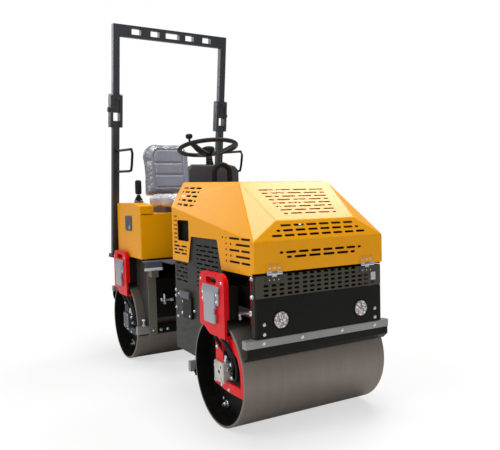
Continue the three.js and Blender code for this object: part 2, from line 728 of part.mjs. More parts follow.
// ---------------------------------------------------------------------- hood
// The hood's faceted body, shrunk inwards by a sheet's thickness for its inside.
function hoodBody(inset, foot, rearReach) {
  const shoulders = [hoodFoot + hoodShoulderFront, hoodFoot + hoodShoulderRear];
  // half width, distance ahead of the pin, height, and how far the corner moves inwards, back and
  // down for each unit of inset
  const corners = [
    { x: hoodHalf, ahead: bodyFront, z: shoulders[0], dx: 1, dy: 1, dz: 0.5 },
    { x: hoodHalf, ahead: hoodRear, z: shoulders[1], dx: 1, dy: 0, dz: 0.5 },
    { x: hoodNose[0], ahead: hoodNose[1], z: hoodFoot + hoodNose[2], dx: 0.5, dy: 0.8, dz: 0.9 },
    { x: hoodCrest[0], ahead: hoodCrest[1], z: hoodFoot + hoodCrest[2], dx: 0.5, dy: 0.4, dz: 1 },
    { x: hoodRidge[0], ahead: hoodRidge[1], z: hoodFoot + hoodRidge[2], dx: 0.5, dy: 0, dz: 1 },
    { x: hoodHalf, ahead: bodyFront, z: foot, dx: 1, dy: 1, dz: 0 },
    { x: hoodHalf, ahead: hoodRear, z: foot, dx: 1, dy: 0, dz: 0 },
    { x: hoodRidge[0], ahead: hoodRidge[1], z: foot, dx: 0.5, dy: 0, dz: 0 },
  ];
  return new ConvexGeometry(corners.flatMap(({ x, ahead, z, dx, dy, dz }) => sides.map(({ sign }) => {
    const reach = dy === 0 ? rearReach : 0;
    return new THREE.Vector3(sign * (x - inset * dx), inset * dy + reach - ahead, z - inset * dz);
  })));
}

function addHood() {
  const wide = [-hoodHalf - weld, hoodHalf + weld];
  const below = hoodFoot - 20;
  const inner = hoodBody(hoodSheet, hoodFoot - 40, 60);
  const { foot, top, height } = serviceCut;
  const sideCut = plateX([[-foot[0], below], [-top[0], height], [-top[1], height], [-foot[1], below]], wide);
  const frontCut = box(wide, [-bodyFront - weld, 18 - bodyFront], [below, hoodFrontFoot]);
  const windowCut = plateX(roundedRectangle(sideWindow.length.map((ahead) => -ahead).reverse(),
    sideWindow.height, sideWindow.corner), wide);
  const leaves = sides.flatMap(({ sign }) => hoodHingeLeaves((sign * hoodHingeSpacing) / 2));
  const shell = cut(hoodBody(0, hoodFoot, 0), inner, sideCut, frontCut, windowCut);
  part(frontModule, 'hood', join(shell, ...leaves), yellowPaint);
}

// The hood's half of a hinge: a leaf on its face and the two outer knuckles.
function hoodHingeLeaves(centre) {
  const half = hoodHingeWidth / 2;
  const leafFoot = hoodHingeHeight + 2 * hoodHingeRadius;
  const leaf = box([centre - half, centre + half], [-bodyFront - 4, sideGap - bodyFront],
    [leafFoot, leafFoot + hoodHingeLeaf]);
  const knuckle = middleKnuckle + sideGap;
  const knuckles = [[-half, -knuckle], [knuckle, half]].flatMap((span) => {
    const x = span.map((distance) => centre + distance);
    const pinEnds = x.map((end) => [end, hingePinY, hoodHingeHeight]);
    return [
      box(x, [-bodyFront - 8, -bodyFront - 3], [hoodHingeHeight, leafFoot + weld]),
      bar(...pinEnds, hoodHingeRadius, 16),
    ];
  });
  return [leaf, ...knuckles];
}

// --------------------------------------------------- yoke and steering cylinder
const crossplateRear = legFront + legPlate + crossplate;

function addYoke() {
  const hubBase = lowerEarBase + earThickness + sideGap;
  const hubTop = upperEarBase - sideGap;
  const [neckWidth, neckHeight] = yokeNeck;
  const hub = bar([0, 0, hubBase], [0, 0, hubTop], yokeRadius, 32);
  const neck = box([-neckWidth / 2, neckWidth / 2], [yokeRadius / 2, housingFront - moveGap],
    [shaftHeight - neckHeight / 2, shaftHeight + neckHeight / 2]);
  const nutSeat = crossplateRear + sideGap;
  const [nutRadius, nutThickness] = shaftNut;
  const shaft = bar([0, pinRadius + weld, shaftHeight], [0, nutSeat + nutThickness, shaftHeight],
    shaftRadius, 32);
  const nut = bar([0, nutSeat, shaftHeight], [0, nutSeat + nutThickness + 4, shaftHeight], nutRadius, 6);
  const leverFoot = cylinderHeight + rodRadius + 2 * sideGap;
  const lever = plateZ([[0, 40], ...arc(cylinderTip, cylinderEye + 3, 110, 250, 6), [0, -40]],
    [leverFoot, leverFoot + leverPlate]);
  const bore = bar([0, 0, hubBase - weld], [0, 0, hubTop + weld], pinRadius + runGap, 32);
  part(machine, 'pivot_yoke', cut(join(hub, neck, shaft, lever, nut), bore), blackPaint);
}

function addSteeringCylinder() {
  const [baseX, baseY] = cylinderBase;
  const reach = Math.hypot(cylinderTip[0] - baseX, cylinderTip[1] - baseY);
  const cylinder = new THREE.Group();
  cylinder.position.set(baseX, baseY, cylinderHeight);
  cylinder.rotation.z = Math.atan2(cylinderTip[1] - baseY, cylinderTip[0] - baseX);
  frontModule.add(cylinder);
  const eyeHalf = barrelRadius / 2;
  const eyeNeck = 16;
  const barrel = join(
    bar([barrelNose, 0, 0], [barrelLength, 0, 0], barrelRadius, 24),
    box([8, barrelNose + moveGap], [-eyeNeck, eyeNeck], [-eyeHalf, eyeHalf]),
    bar([0, 0, -eyeHalf], [0, 0, eyeHalf], cylinderEye - 3, 24));
  part(cylinder, 'steering_barrel', cut(barrel,
    bar([0, 0, -eyeHalf - weld], [0, 0, eyeHalf + weld], cylinderPin + runGap, 24),
    bar([rodBoreStart, 0, 0], [barrelLength + weld, 0, 0], rodRadius + runGap, 24)), blackPaint);
  // The rod's pin ends just under the yoke's lever: the eye swings a little as the machine steers.
  part(cylinder, 'steering_rod', join(
    bar([reach - rodLength, 0, 0], [reach - 10, 0, 0], rodRadius, 20),
    bar([reach, 0, -rodRadius], [reach, 0, rodRadius], cylinderEye, 20),
    bar([reach, 0, -rodRadius - 8], [reach, 0, rodRadius + sideGap], cylinderPin, 16)), brightSteel);
}

// ---------------------------------------------------------------- rear frame
function addRearFrame() {
  const inner = legFront + legPlate;
  const housingRadius = shaftRadius + housingWall;
  const bore = circle([0, shaftHeight], shaftRadius + runGap, 32);
  const crossWall = plateY(rectangle([-frameHalf, frameHalf], [crossplateFoot, deckHeight]),
    [inner, crossplateRear], [bore]);
  const housing = cut(
    bar([0, housingFront, shaftHeight], [0, inner + moveGap, shaftHeight], housingRadius, 32),
    bar([0, housingFront - weld, shaftHeight], [0, crossplateRear + weld, shaftHeight],
      shaftRadius + runGap, 32));
  const gussetX = [shaftRadius + 15, gussetWidth];
  const [gussetFront, gussetRear] = [housingFront + 48, inner + 4];
  const gussets = sides.map(({ sign }) => plateZ(
    [[sign * gussetX[0], gussetFront], [sign * gussetX[1], gussetRear], [sign * gussetX[0], gussetRear]],
    [shaftHeight - framePlate / 2, shaftHeight + framePlate / 2]));
  const legs = sides.map(({ sign }) => box(outward(sign, frameHalf + 3 - legWidth, frameHalf + 3),
    [legFront, inner], [legFoot, legTop]));
  const risers = sides.map(({ sign }) => box(outward(sign, frameHalf - framePlate, frameHalf),
    [inner, frameOuterEnd], [sillHeight - weld, boxFoot - fitGap]));
  const floorArms = sides.map(({ sign }) => box(outward(sign, frameHalf - 50, frameHalf),
    [stepFront + 12, legFront + weld], [sillHeight + 3, floorHeight - floorPlate - fitGap]));
  const barSeats = sides.map(({ sign }) => box(
    outward(sign, frameHalf - postWidth, postCentre + postSide / 2 + footPlate - weld),
    [barFoot[0] - 50, barFoot[0] + 50], [barFoot[1] - 14, barFoot[1]]));
  part(rearModule, 'rear_frame', join(
    ...frameSides(1, inner, rearFrameFoot), frameDeck(1, inner), crossWall, housing, ...gussets,
    ...legs, ...risers, ...floorArms, ...framePosts(1, boxFoot - fitGap), ...barSeats,
  ), frameGrey);
}

// ----------------------------------------------------------------- rear body
function addRearBody() {
  const outer = box([-boxHalf, boxHalf], [boxFront, boxRear], [boxFoot, boxTop]);
  const hollow = box([boxSheet - boxHalf, boxHalf - boxSheet],
    [boxFront + boxSheet, boxRear - boxSheet], [boxFoot - weld, boxTop - boxSheet]);
  part(rearModule, 'seat_box', cut(outer, hollow), yellowPaint);
  const consoleTop = boxTop + consoleHeight;
  for (const { name, sign } of sides) {
    part(rearModule, `side_console_${name}`, plateX([
      [boxFront, boxTop + fitGap], [boxRear, boxTop + fitGap], [boxRear, consoleTop],
      [boxFront + consoleSlope[0], consoleTop], [boxFront, consoleTop - consoleSlope[1]],
    ], outward(sign, boxHalf - consoleWidth, boxHalf)), yellowPaint);
  }
  const tankFront = boxRear + fitGap;
  const fillerY = (boxRear + tankRear - tankBevel[0]) / 2;
  const tank = plateX([
    [tankFront, boxFoot], [tankRear, boxFoot], [tankRear, boxTop - tankBevel[1]],
    [tankRear - tankBevel[0], boxTop], [tankFront, boxTop],
  ], [-tankHalf, tankHalf]);
  const filler = bar([fillerX, fillerY, boxTop - weld], [fillerX, fillerY, boxTop + fillerHeight],
    fillerRadius, 32);
  part(rearModule, 'water_tank', join(tank, filler), yellowPaint);
  part(rearModule, 'latch_plate', plateX(roundedRectangle(latchLength, latchHeight, latchCorner),
    outward(-1, boxHalf + fitGap, boxHalf + latchDepth)), coverSilver);
}

// The floor plate steps in ahead of the seat box; its edge turns down, with a step edge under it.
function addFloor() {
  const boxEdge = boxFront - 4;
  const outline = [
    [-boxHalf, boxEdge], [-boxHalf, stepFront], [-footwellHalf, stepFront], [-footwellHalf, footwellFront],
    [footwellHalf, footwellFront], [footwellHalf, stepFront], [boxHalf, stepFront], [boxHalf, boxEdge],
  ];
  const inner = footwellHalf - lipPlate;
  const lipFoot = floorHeight - floorLip;
  const lips = sides.map(({ sign }) => box(outward(sign, inner, boxHalf), [stepFront, stepFront + lipPlate],
    [lipFoot, floorHeight - weld]));
  const stepEdges = sides.map(({ sign }) => box(outward(sign, inner, boxHalf + lipPlate),
    [stepFront - 2, stepFront + 10], [lipFoot - stepEdgeHeight + sideGap, lipFoot + sideGap]));
  part(rearModule, 'floor_plate', join(plateZ(outline, [floorHeight - floorPlate, floorHeight]), ...lips,
    ...stepEdges), coverSilver);
}

// A tail panel with two round lamps closes the rear of the frame.
function addTail() {
  part(rearModule, 'tail_panel', endPanel(1, tailLampHeight, boxFoot - fitGap), blackPaint);
  for (const { name, sign } of sides) {
    part(rearModule, `tail_lamp_${name}`,
      lamp(1, (sign * lampSpacing) / 2, tailLampHeight, bodyFront + 3 * panelInset), redLens);
  }
}

// ------------------------------------------------------------------ controls
function addConsole() {
  const front = footwellFront;
  const rear = front + dashDepth;
  const top = floorHeight + dashHeight;
  const normal = [0, Math.sin(wheelTilt), Math.cos(wheelTilt)];
  const below = (drop) => wheelCentre.map((value, i) => value - normal[i] * drop);
  const foot = floorHeight + fitGap;
  const dash = plateX([
    [front, foot], [front + dashFoot[0], foot], [rear, floorHeight + dashFoot[1]],
    [rear, top - dashBevel], [front + dashBevel, top + moveGap], [front, top - 8],
  ], [-dashHalf, dashHalf]);
  const column = bar(...columnSpan.map(below), columnRadius, 24);
  part(rearModule, 'steering_console', join(dash, column), darkPlastic);
}

function addSteeringWheel() {
  const wheel = new THREE.Group();
  wheel.position.set(...wheelCentre);
  wheel.rotation.x = -wheelTilt;
  rearModule.add(wheel);
  const rim = new THREE.TorusGeometry(wheelRadius, wheelRim, 8, 30);
  const [hubSize, hubDepth] = wheelHub;
  const hub = bar([0, 0, -hubDepth], [0, 0, 4], hubSize, 24);
  const [spokeWidth, spokePlate] = wheelSpoke;
  const spokes = [90, 210, 330].map((degrees) => box(
    [hubSize / 2, wheelRadius], [-spokeWidth / 2, spokeWidth / 2], [weld - spokePlate, weld],
  ).rotateZ(radians(degrees)));
  const knob = [wheelRadius * Math.cos(knobAngle), wheelRadius * Math.sin(knobAngle)];
  const knobFoot = wheelRim + 20;
  const spinner = [
    bar([...knob, 0], [...knob, knobFoot + weld], knobStem, 16),
    bar([...knob, knobFoot], [...knob, wheelRim + knobHeight], knobRadius, 24),
  ];
  part(wheel, 'steering_wheel', join(rim, hub, ...spokes, ...spinner), rubber);
}

function addTravelLever() {
  const foot = boxTop + consoleHeight + fitGap;
  const centred = (centre, size) => [centre - size / 2, centre + size / 2];
  const gripY = leverY - 5;
  part(rearModule, 'travel_lever', join(
    box(centred(leverX, leverBase[0]), centred(leverY, leverBase[1]), [foot, foot + leverBase[2]]),
    bar([leverX, leverY, foot + 10], [leverX - 2, gripY, foot + leverGripFoot + 12], leverStem, 12),
    box(centred(leverX - 2, leverGrip[0]), centred(gripY, leverGrip[1]),
      [foot + leverGripFoot, foot + leverGripFoot + leverGrip[2]])), rubber);
}

// ---------------------------------------------------------------------- seat
function addSeat() {
  const x = [seatOffset - seatWidth / 2, seatOffset + seatWidth / 2];
  const y = [seatRear - seatDepth, seatRear];
  part(rearModule, 'seat_cushion', plateZ(roundedRectangle(x, y, seatCorner, 5),
    [cushionBase, cushionBase + cushionHeight]), seatVinyl);
  const back = new THREE.Group();
  back.position.set(seatOffset, seatRear - 10, cushionBase + cushionHeight + moveGap);
  back.rotation.x = -backLean;
  rearModule.add(back);
  const half = backWidth / 2;
  const cornerHeight = backHeight - backCorner;
  part(back, 'seat_back', plateY([
    [-half, 0], [half, 0], ...arc([half - backCorner, cornerHeight], backCorner, 0, 90, 6),
    ...arc([backCorner - half, cornerHeight], backCorner, 90, 180, 6),
  ], [0, backThickness]), seatVinyl);
  back.updateMatrix();
  const bracket = box([-bracketHalf, bracketHalf],
    [backThickness + fitGap, backThickness + bracketPlate], [-bracketDrop, bracketRise]);
  bracket.applyMatrix4(back.matrix);
  const [inX, inY] = seatPedestal;
  const onBox = boxTop + fitGap;
  part(rearModule, 'seat_base', join(
    box([x[0] + inX, x[1] - inX], [y[0] + inY, y[1] - inY], [onBox, cushionBase - fitGap]),
    box([seatOffset - bracketHalf, seatOffset + bracketHalf],
      [y[1] - inY - 10, y[1] + backThickness - bracketPlate], [onBox, boxTop + 14]),
    bracket), darkPlastic);
}

// ------------------------------------------------------------------ roll bar
// Heights are given on the machine and measured along the leaning posts here.
const along = (height) => (height - barFoot[1]) / Math.cos(barLean);
const postHalf = postSide / 2;
const postDepthSpan = [-postHalf, postHalf];
const postX = (sign) => outward(sign, postCentre - postHalf, postCentre + postHalf);

// A point [y, z] measured from the posts' foot on the machine, across and along the leaning posts.
const leaned = ([y, z]) => [
  y * Math.cos(barLean) + z * Math.sin(barLean), z * Math.cos(barLean) - y * Math.sin(barLean),
];

function lowerPost(sign) {
  const forkHalf = postHalf + sideGap + forkPlate;
  const lipFront = -postHalf - forkLip;
  const forkX = (margin) => outward(sign, postCentre - forkHalf + margin, postCentre + forkHalf - margin);
  const cheekFaces = [[-forkHalf, -postHalf - sideGap], [postHalf + sideGap, forkHalf]];
  const cheeks = cheekFaces.map(([from, to]) => plateX(
    roundedRectangle([lipFront, -lipFront], [along(forkFoot), along(forkTop)], 2 * forkLip),
    outward(sign, postCentre + from, postCentre + to)));
  const socket = box(forkX(weld), postDepthSpan, [along(forkFoot + 4), along(lowerPostTop)]);
  const stopTop = forkTop - forkLip;
  const stop = box(forkX(weld), [lipFront, -postHalf - sideGap], [along(stopTop - 36), along(stopTop)]);
  const boltHeight = along(stopTop - 18);
  const stopBolt = bar([sign * postCentre, 4 - postHalf - forkLip, boltHeight],
    [sign * postCentre, lipFront - 12, boltHeight], 11, 6);
  const pinHeight = along(foldHeight);
  const pinAt = (distance) => [sign * (postCentre + distance), 0, pinHeight];
  const [headRadius, headThickness] = foldHead;
  const pin = bar(pinAt(-forkHalf - 2), pinAt(forkHalf + 2), foldPin);
  const head = bar(pinAt(forkHalf - 1), pinAt(forkHalf + headThickness), headRadius);
  const foot = box(outward(sign, postCentre - postHalf - footPlate, postCentre + postHalf + footPlate - weld),
    [-footHalf, footHalf], [fitGap, footPlate]).rotateX(-barLean);
  const post = box(postX(sign), postDepthSpan, [footPlate - weld, along(lowerPostTop) - 2]);
  return join(post, foot, ...cheeks, socket, stop, stopBolt, pin, head);
}

function grabHandle(sign) {
  const [high, low] = handleHeights.map((height) => height / Math.cos(barLean));
  const x = sign * postCentre;
  const [frontTop, frontFoot] = handleCorners.map(leaned);
  const stops = [[x, 0, high], [x, ...frontTop], [x, ...frontFoot], [x, 0, low]];
  const tube = bentTube(stops, handleRadius, 22, 8);
  return cut(tube, box(postX(sign), [-postHalf - fitGap, postHalf], [low - postSide, high + postSide]));
}

function upperFrame() {
  const pinHeight = along(foldHeight);
  const beamTop = along(barTop);
  const beamFoot = beamTop - crossbarHeight;
  const uprights = sides.map(({ sign }) => cut(
    box(postX(sign), postDepthSpan, [along(upperPostFoot), beamFoot + weld]),
    bar([sign * (postCentre - postSide), 0, pinHeight], [sign * (postCentre + postSide), 0, pinHeight],
      foldPin + runGap)));
  const windows = crossbarWindows.map(([centre, width]) => box([centre - width / 2, centre + width / 2],
    [-postHalf - weld, postHalf + weld], [beamFoot + crossbarRims[0], beamTop - crossbarRims[1]]));
  const crossbar = box([-postCentre - postHalf, postCentre + postHalf], postDepthSpan, [beamFoot, beamTop]);
  return join(...uprights, cut(crossbar, ...windows));
}

function addRollBar() {
  const rollBar = new THREE.Group();
  rollBar.position.set(0, ...barFoot);
  rollBar.rotation.x = barLean;
  rearModule.add(rollBar);
  for (const { name, sign } of sides) {
    part(rollBar, `rops_lower_post_${name}`, lowerPost(sign), barPaint);
    part(rollBar, `grab_handle_${name}`, grabHandle(sign), barPaint);
  }
  part(rollBar, 'rops_upper_frame', upperFrame(), barPaint);
}

// ------------------------------------------------------------------ assembly
ends.forEach(addDrum);
ends.forEach(addArms);
ends.forEach(addScrapers);
addFrontFrame();
addFrontPanels();
addEngine();
addBulkhead();
addHood();
addYoke();
addSteeringCylinder();
addRearFrame();
addRearBody();
addFloor();
addTail();
addConsole();
addSteeringWheel();
addTravelLever();
addSeat();
addRollBar();

export default machine;
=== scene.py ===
# The looks of a ride-on tandem vibratory roller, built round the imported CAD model.
# Lengths in the helpers are in millimetres, in the frame's axes: the front faces -Y,
# the left side is +X, +Z is up, and the origin is on the ground under the steering pin.
import math
from functools import partial

import bmesh
import bpy
import numpy as np
from mathutils import Matrix, Vector


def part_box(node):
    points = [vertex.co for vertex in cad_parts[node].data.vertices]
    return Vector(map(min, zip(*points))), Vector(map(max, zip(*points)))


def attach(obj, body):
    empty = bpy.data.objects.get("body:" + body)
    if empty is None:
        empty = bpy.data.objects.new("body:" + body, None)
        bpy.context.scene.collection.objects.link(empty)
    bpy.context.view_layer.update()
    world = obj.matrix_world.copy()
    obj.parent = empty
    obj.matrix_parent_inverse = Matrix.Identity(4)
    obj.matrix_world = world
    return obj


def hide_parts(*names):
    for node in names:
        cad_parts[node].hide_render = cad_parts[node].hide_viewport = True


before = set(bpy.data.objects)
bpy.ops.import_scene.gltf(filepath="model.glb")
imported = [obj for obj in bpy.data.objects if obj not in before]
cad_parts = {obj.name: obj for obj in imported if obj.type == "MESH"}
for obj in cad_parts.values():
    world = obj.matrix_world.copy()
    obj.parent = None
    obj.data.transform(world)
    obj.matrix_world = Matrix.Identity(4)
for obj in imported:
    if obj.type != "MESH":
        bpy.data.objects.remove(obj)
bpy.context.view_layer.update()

MM = 0.001
X, Y, Z = 0, 1, 2
SIDES = (("left", 1), ("right", -1))
FRONT, REAR = "front_module", "rear_module"
ENDS = (("front", FRONT, -1), ("rear", REAR, 1))  # name, body, and which way it looks along Y
scene = bpy.context.scene


def span(node):
    """A CAD node's box in millimetres, as three [low, high] pairs."""
    low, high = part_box(node)
    return [[low[i] / MM, high[i] / MM] for i in range(3)]


def middle(node):
    """The middle of a CAD node's box, in millimetres."""
    return [sum(pair) / 2 for pair in span(node)]


# ---------------------------------------------------------------------- looks
def rgb(red, green, blue):
    """A screen colour, 0 to 255, as the linear colour that a shader takes."""
    parts = [v / 255 for v in (red, green, blue)]
    return [v / 12.92 if v <= 0.04045 else ((v + 0.055) / 1.055) ** 2.4 for v in parts] + [1]


def add(tree, kind, inputs=None, **settings):
    """A shader node with its inputs set or linked."""
    node = tree.nodes.new("ShaderNode" + kind)
    for key, value in settings.items():
        setattr(node, key, value)
    for key, value in (inputs or {}).items():
        socket = node.inputs[key]
        if isinstance(value, bpy.types.NodeSocket):
            tree.links.new(value, socket)
        else:
            socket.default_value = value
    return node


def worked(tree, operation, *values, **settings):
    """One step of arithmetic."""
    return add(tree, "Math", dict(enumerate(values)), operation=operation, **settings).outputs[0]


def ranged(tree, value, low, high, to_low, to_high, **settings):
    return add(tree, "MapRange", {"Value": value, "From Min": low, "From Max": high,
                                  "To Min": to_low, "To Max": to_high}, **settings).outputs["Result"]


def noise(tree, at, scale, detail=4.0, stretch=None, rough=0.55):
    if stretch:
        at = add(tree, "Mapping", {"Vector": at, "Scale": stretch}).outputs["Vector"]
    return add(tree, "TexNoise", {"Vector": at, "Scale": scale, "Detail": detail,
                                  "Roughness": rough}).outputs["Fac"]


def cell_edges(tree, at, scale):
    """The distance from the edges between small cells."""
    return add(tree, "TexVoronoi", {"Vector": at, "Scale": scale},
               feature="DISTANCE_TO_EDGE").outputs["Distance"]


def raised(tree, height, strength, distance, socket="Normal", **settings):
    """Puts a bump on a surface, or on its coat."""
    bump = add(tree, "Bump", {"Height": height, "Strength": strength, "Distance": distance}, **settings)
    tree.links.new(bump.outputs["Normal"], tree.nodes["Principled BSDF"].inputs[socket])


def look(name, color, rough, metal=0.0, patch=5.0, vary=0.08, dust=0.05, grain=900.0, bump=0.04,
         stretch=None, dust_color=(150, 140, 120), rough_vary=0.08, low_dust=0.0, slot=None,
         shine=0.5, **uniform):
    """A surface with slow colour variation, dust where it faces up or is near the ground,
    uneven gloss and a fine bump. The other words are the shader's own uniform sockets."""
    made = bpy.data.materials.new(f"look_{name}")
    made.use_nodes = True
    made["slot"] = slot or name
    tree = made.node_tree
    shader = tree.nodes["Principled BSDF"]
    at = add(tree, "TexCoord").outputs["Object"]
    slow = noise(tree, at, patch, 6.0, stretch)
    fine = noise(tree, at, patch * 9, 5.0, stretch)
    value = ranged(tree, slow, 0.3, 0.7, 1 - vary, 1 + vary)
    varied = add(tree, "HueSaturation", {"Value": value, "Color": rgb(*color)}).outputs["Color"]
    up = add(tree, "SeparateXYZ", {"Vector": add(tree, "NewGeometry").outputs["Normal"]}).outputs["Z"]
    mask = worked(tree, "MULTIPLY", ranged(tree, up, -0.1, 1.0, 0.15, 1.0),
                  ranged(tree, fine, 0.42, 0.78, 0.0, 1.0))
    if low_dust:
        height = add(tree, "SeparateXYZ", {"Vector": at}).outputs["Z"]
        low = worked(tree, "MULTIPLY", ranged(tree, height, 0.0, 0.5, low_dust, 0.0), fine)
        mask = worked(tree, "ADD", mask, low, use_clamp=True)
    amount = ranged(tree, mask, 0.0, 1.0, 0.0, dust)
    mixed = add(tree, "MixRGB", {"Fac": amount, "Color1": varied, "Color2": rgb(*dust_color)})
    tree.links.new(mixed.outputs["Color"], shader.inputs["Base Color"])
    gloss = ranged(tree, fine, 0.3, 0.7, max(rough - rough_vary, 0.02), min(rough + rough_vary, 1.0))
    tree.links.new(gloss, shader.inputs["Roughness"])
    for key, number in {"Metallic": metal, "Specular_IOR_Level": shine, **uniform}.items():
        shader.inputs[key.replace("_", " ")].default_value = number
    raised(tree, noise(tree, at, grain, 3.0, stretch), bump, 0.001)
    return made


def vinyl(name, color):
    """Leather-grained vinyl under a thin crinkled film: small cells, and folds in the gloss."""
    made = look(name, color, 0.36, patch=7.0, vary=0.12, dust=0.1, slot="seat_vinyl",
                Coat_Weight=1.0, Coat_Roughness=0.12)
    tree = made.node_tree
    at = add(tree, "TexCoord").outputs["Object"]
    raised(tree, ranged(tree, cell_edges(tree, at, 420.0), 0.0, 0.25, 0.0, 1.0), 0.2, 0.0005)
    folds = worked(tree, "SUBTRACT", noise(tree, at, 26.0, 5.0, (1.0, 1.0, 0.6), 0.62), 0.5)
    raised(tree, worked(tree, "ABSOLUTE", folds), 0.55, 0.012, "Coat Normal", invert=True)
    return made


def facets(name, pale, deep):
    """Moulded lamp glass: small pale facets parted by dark lines."""
    made = look(name, pale, 0.14, patch=60.0, vary=0.1, dust=0.03)
    tree = made.node_tree
    color = tree.nodes["Principled BSDF"].inputs["Base Color"]
    edges = cell_edges(tree, add(tree, "TexCoord").outputs["Object"], 62.0)
    line = ranged(tree, edges, 0.02, 0.16, 1.0, 0.0)
    mixed = add(tree, "MixRGB", {"Fac": line, "Color1": color.links[0].from_socket, "Color2": rgb(*deep)})
    tree.links.new(mixed.outputs["Color"], color)
    raised(tree, ranged(tree, edges, 0.0, 0.3, 0.0, 1.0), 0.7, 0.004)
    return made


yellow = look("yellow_paint", (238, 160, 0), 0.3, vary=0.02, dust=0.0, rough_vary=0.03, bump=0.01, shine=0.25)
red = look("red_paint", (220, 8, 20), 0.34, vary=0.04, dust=0.015, shine=0.16)
frame_grey = look("frame_grey", (46, 46, 40), 0.44, vary=0.1, low_dust=0.25, shine=0.2)
# A lighter copy of the frame's grey paint for the rear frame's legs: painted light for the light falling on
# their faces
leg_lit_grey = look("leg_lit_grey", (104, 99, 90), 0.46, low_dust=0.2, slot="frame_grey", shine=0.25)
panel_olive = look("panel_olive", (70, 67, 57), 0.46, vary=0.06, slot="frame_grey", shine=0.2)
black = look("black_paint", (19, 19, 16), 0.4, vary=0.1, dust=0.03, shine=0.12)
bar_paint = look("bar_paint", (34, 36, 43), 0.34, vary=0.06, dust=0.03, bump=0.01, grain=300.0, shine=0.6)
loop_paint = look("loop_paint", (26, 24, 22), 0.5, dust=0.02, slot="black_paint", shine=0.12)
floor_paint = look("floor_paint", (82, 86, 100), 0.45, metal=0.2, dust=0.08, slot="cover_silver")
beam_grey = look("beam_grey", (142, 143, 141), 0.4, metal=0.25, vary=0.1, dust=0.08)
drum_steel = look("drum_steel", (122, 113, 105), 0.46, metal=0.5, patch=2.5, vary=0.06, dust=0.06,
                  stretch=(12.0, 1.0, 1.0), grain=40.0, bump=0.02, rough_vary=0.05, low_dust=0.25,
                  dust_color=(142, 134, 124))
disc_paint = look("disc_paint", (12, 11, 11), 0.5, vary=0.15, dust=0.04, low_dust=0.1, slot="drum_steel",
                  shine=0.15)
bright = look("bright_steel", (205, 207, 212), 0.26, metal=0.95, patch=20.0, vary=0.05, dust=0.04)
# The metal step lip painted white: a painted reflection of the bright surroundings on its metal
step_glint_white = look("step_glint_white", (226, 226, 228), 0.4, metal=0.2, vary=0.04, slot="cover_silver")
cast = look("cast_grey", (196, 193, 186), 0.5, metal=0.15, patch=16.0, vary=0.12, dust=0.08,
            grain=260.0, bump=0.2)
silver = look("cover_silver", (160, 161, 170), 0.34, metal=0.35, vary=0.05)
latch_grey = look("latch_grey", (76, 82, 92), 0.4, metal=0.3, slot="cover_silver")
plastic = look("dark_plastic", (74, 76, 82), 0.5, patch=9.0, grain=500.0, bump=0.14, shine=0.3)
rubber = look("rubber", (19, 19, 20), 0.55, patch=9.0, vary=0.15, grain=400.0, bump=0.12, shine=0.25)
lens = facets("lamp_lens", (236, 230, 226), (96, 88, 84))
reflector = look("reflector", (176, 172, 168), 0.2, metal=0.9, patch=60.0, vary=0.2, slot="lamp_lens")
red_lens = look("red_lens", (150, 8, 16), 0.16, patch=20.0, dust=0.04, Transmission_Weight=0.2, IOR=1.45)
dial_face = look("dial_face", (226, 226, 220), 0.3, patch=30.0, vary=0.03, dust=0.04, slot="lamp_lens")
seat_vinyl = vinyl("seat_vinyl", (122, 123, 134))
# A paler copy of the seat vinyl for the cushion: painted light and painted reflection for the light on its top
seat_vinyl_lit = vinyl("seat_vinyl_lit", (184, 185, 193))


# ---------------------------------------------------------- shapes as (points, faces)
def shape(points, faces):
    return np.array([list(p) for p in points], float), [tuple(f) for f in faces]


def merged(*shapes):
    points, faces, count = [], [], 0
    for some_points, some_faces in shapes:
        points.append(some_points)
        faces += [tuple(i + count for i in f) for f in some_faces]
        count += len(some_points)
    return np.concatenate(points), faces


def moved(a_shape, matrix):
    """A shape turned and moved by a matrix in millimetres."""
    points, faces = a_shape
    turn, shift = np.array(matrix.to_3x3()), np.array(matrix.translation)
    return points @ turn.T + shift, faces


def ring_faces(rings, sides, closed=False):
    """The faces between rings of points that follow one another."""
    return [(i * sides + k, i * sides + (k + 1) % sides, j * sides + (k + 1) % sides, j * sides + k)
            for i, j in ((i, (i + 1) % rings) for i in range(rings if closed else rings - 1))
            for k in range(sides)]


def end_faces(rings, sides):
    return [tuple(range(sides)), tuple(range(rings * sides - 1, (rings - 1) * sides - 1, -1))]


def plate(axis, outline, extent):
    """A flat plate: an outline in the two other axes, drawn out along this one."""
    across = [i for i in range(3) if i != axis]
    count = len(outline)
    points = np.zeros((2 * count, 3))
    points[:count, across] = points[count:, across] = outline
    points[:count, axis], points[count:, axis] = sorted(extent)
    return points, end_faces(2, count) + ring_faces(2, count)


def arc(centre, radius, start, end, steps):
    angles = [math.radians(start + (end - start) * i / steps) for i in range(steps + 1)]
    return [(centre[0] + radius * math.cos(a), centre[1] + radius * math.sin(a)) for a in angles]


def around(radius, count, start=0.0):
    """Places at equal steps round a circle, from an angle in degrees."""
    return arc((0, 0), radius, start, start + 360, count)[:-1]


def rounded(u, v, radius, steps=5):
    """A rectangle with round corners."""
    (u0, u1), (v0, v1) = sorted(u), sorted(v)
    corners = ((u1 - radius, v1 - radius), (u0 + radius, v1 - radius),
               (u0 + radius, v0 + radius), (u1 - radius, v0 + radius))
    return [at for k, corner in enumerate(corners) for at in arc(corner, radius, 90 * k, 90 * k + 90, steps)]


def stadium(u, v, height):
    """The outline of a slot from u[0] to u[1] with round ends, centred on v."""
    return rounded(u, (v - height / 2, v + height / 2), min(height, abs(u[1] - u[0])) / 2 - 0.01)


def block(x, y, z):
    return plate(Z, [(x[0], y[0]), (x[1], y[0]), (x[1], y[1]), (x[0], y[1])], z)


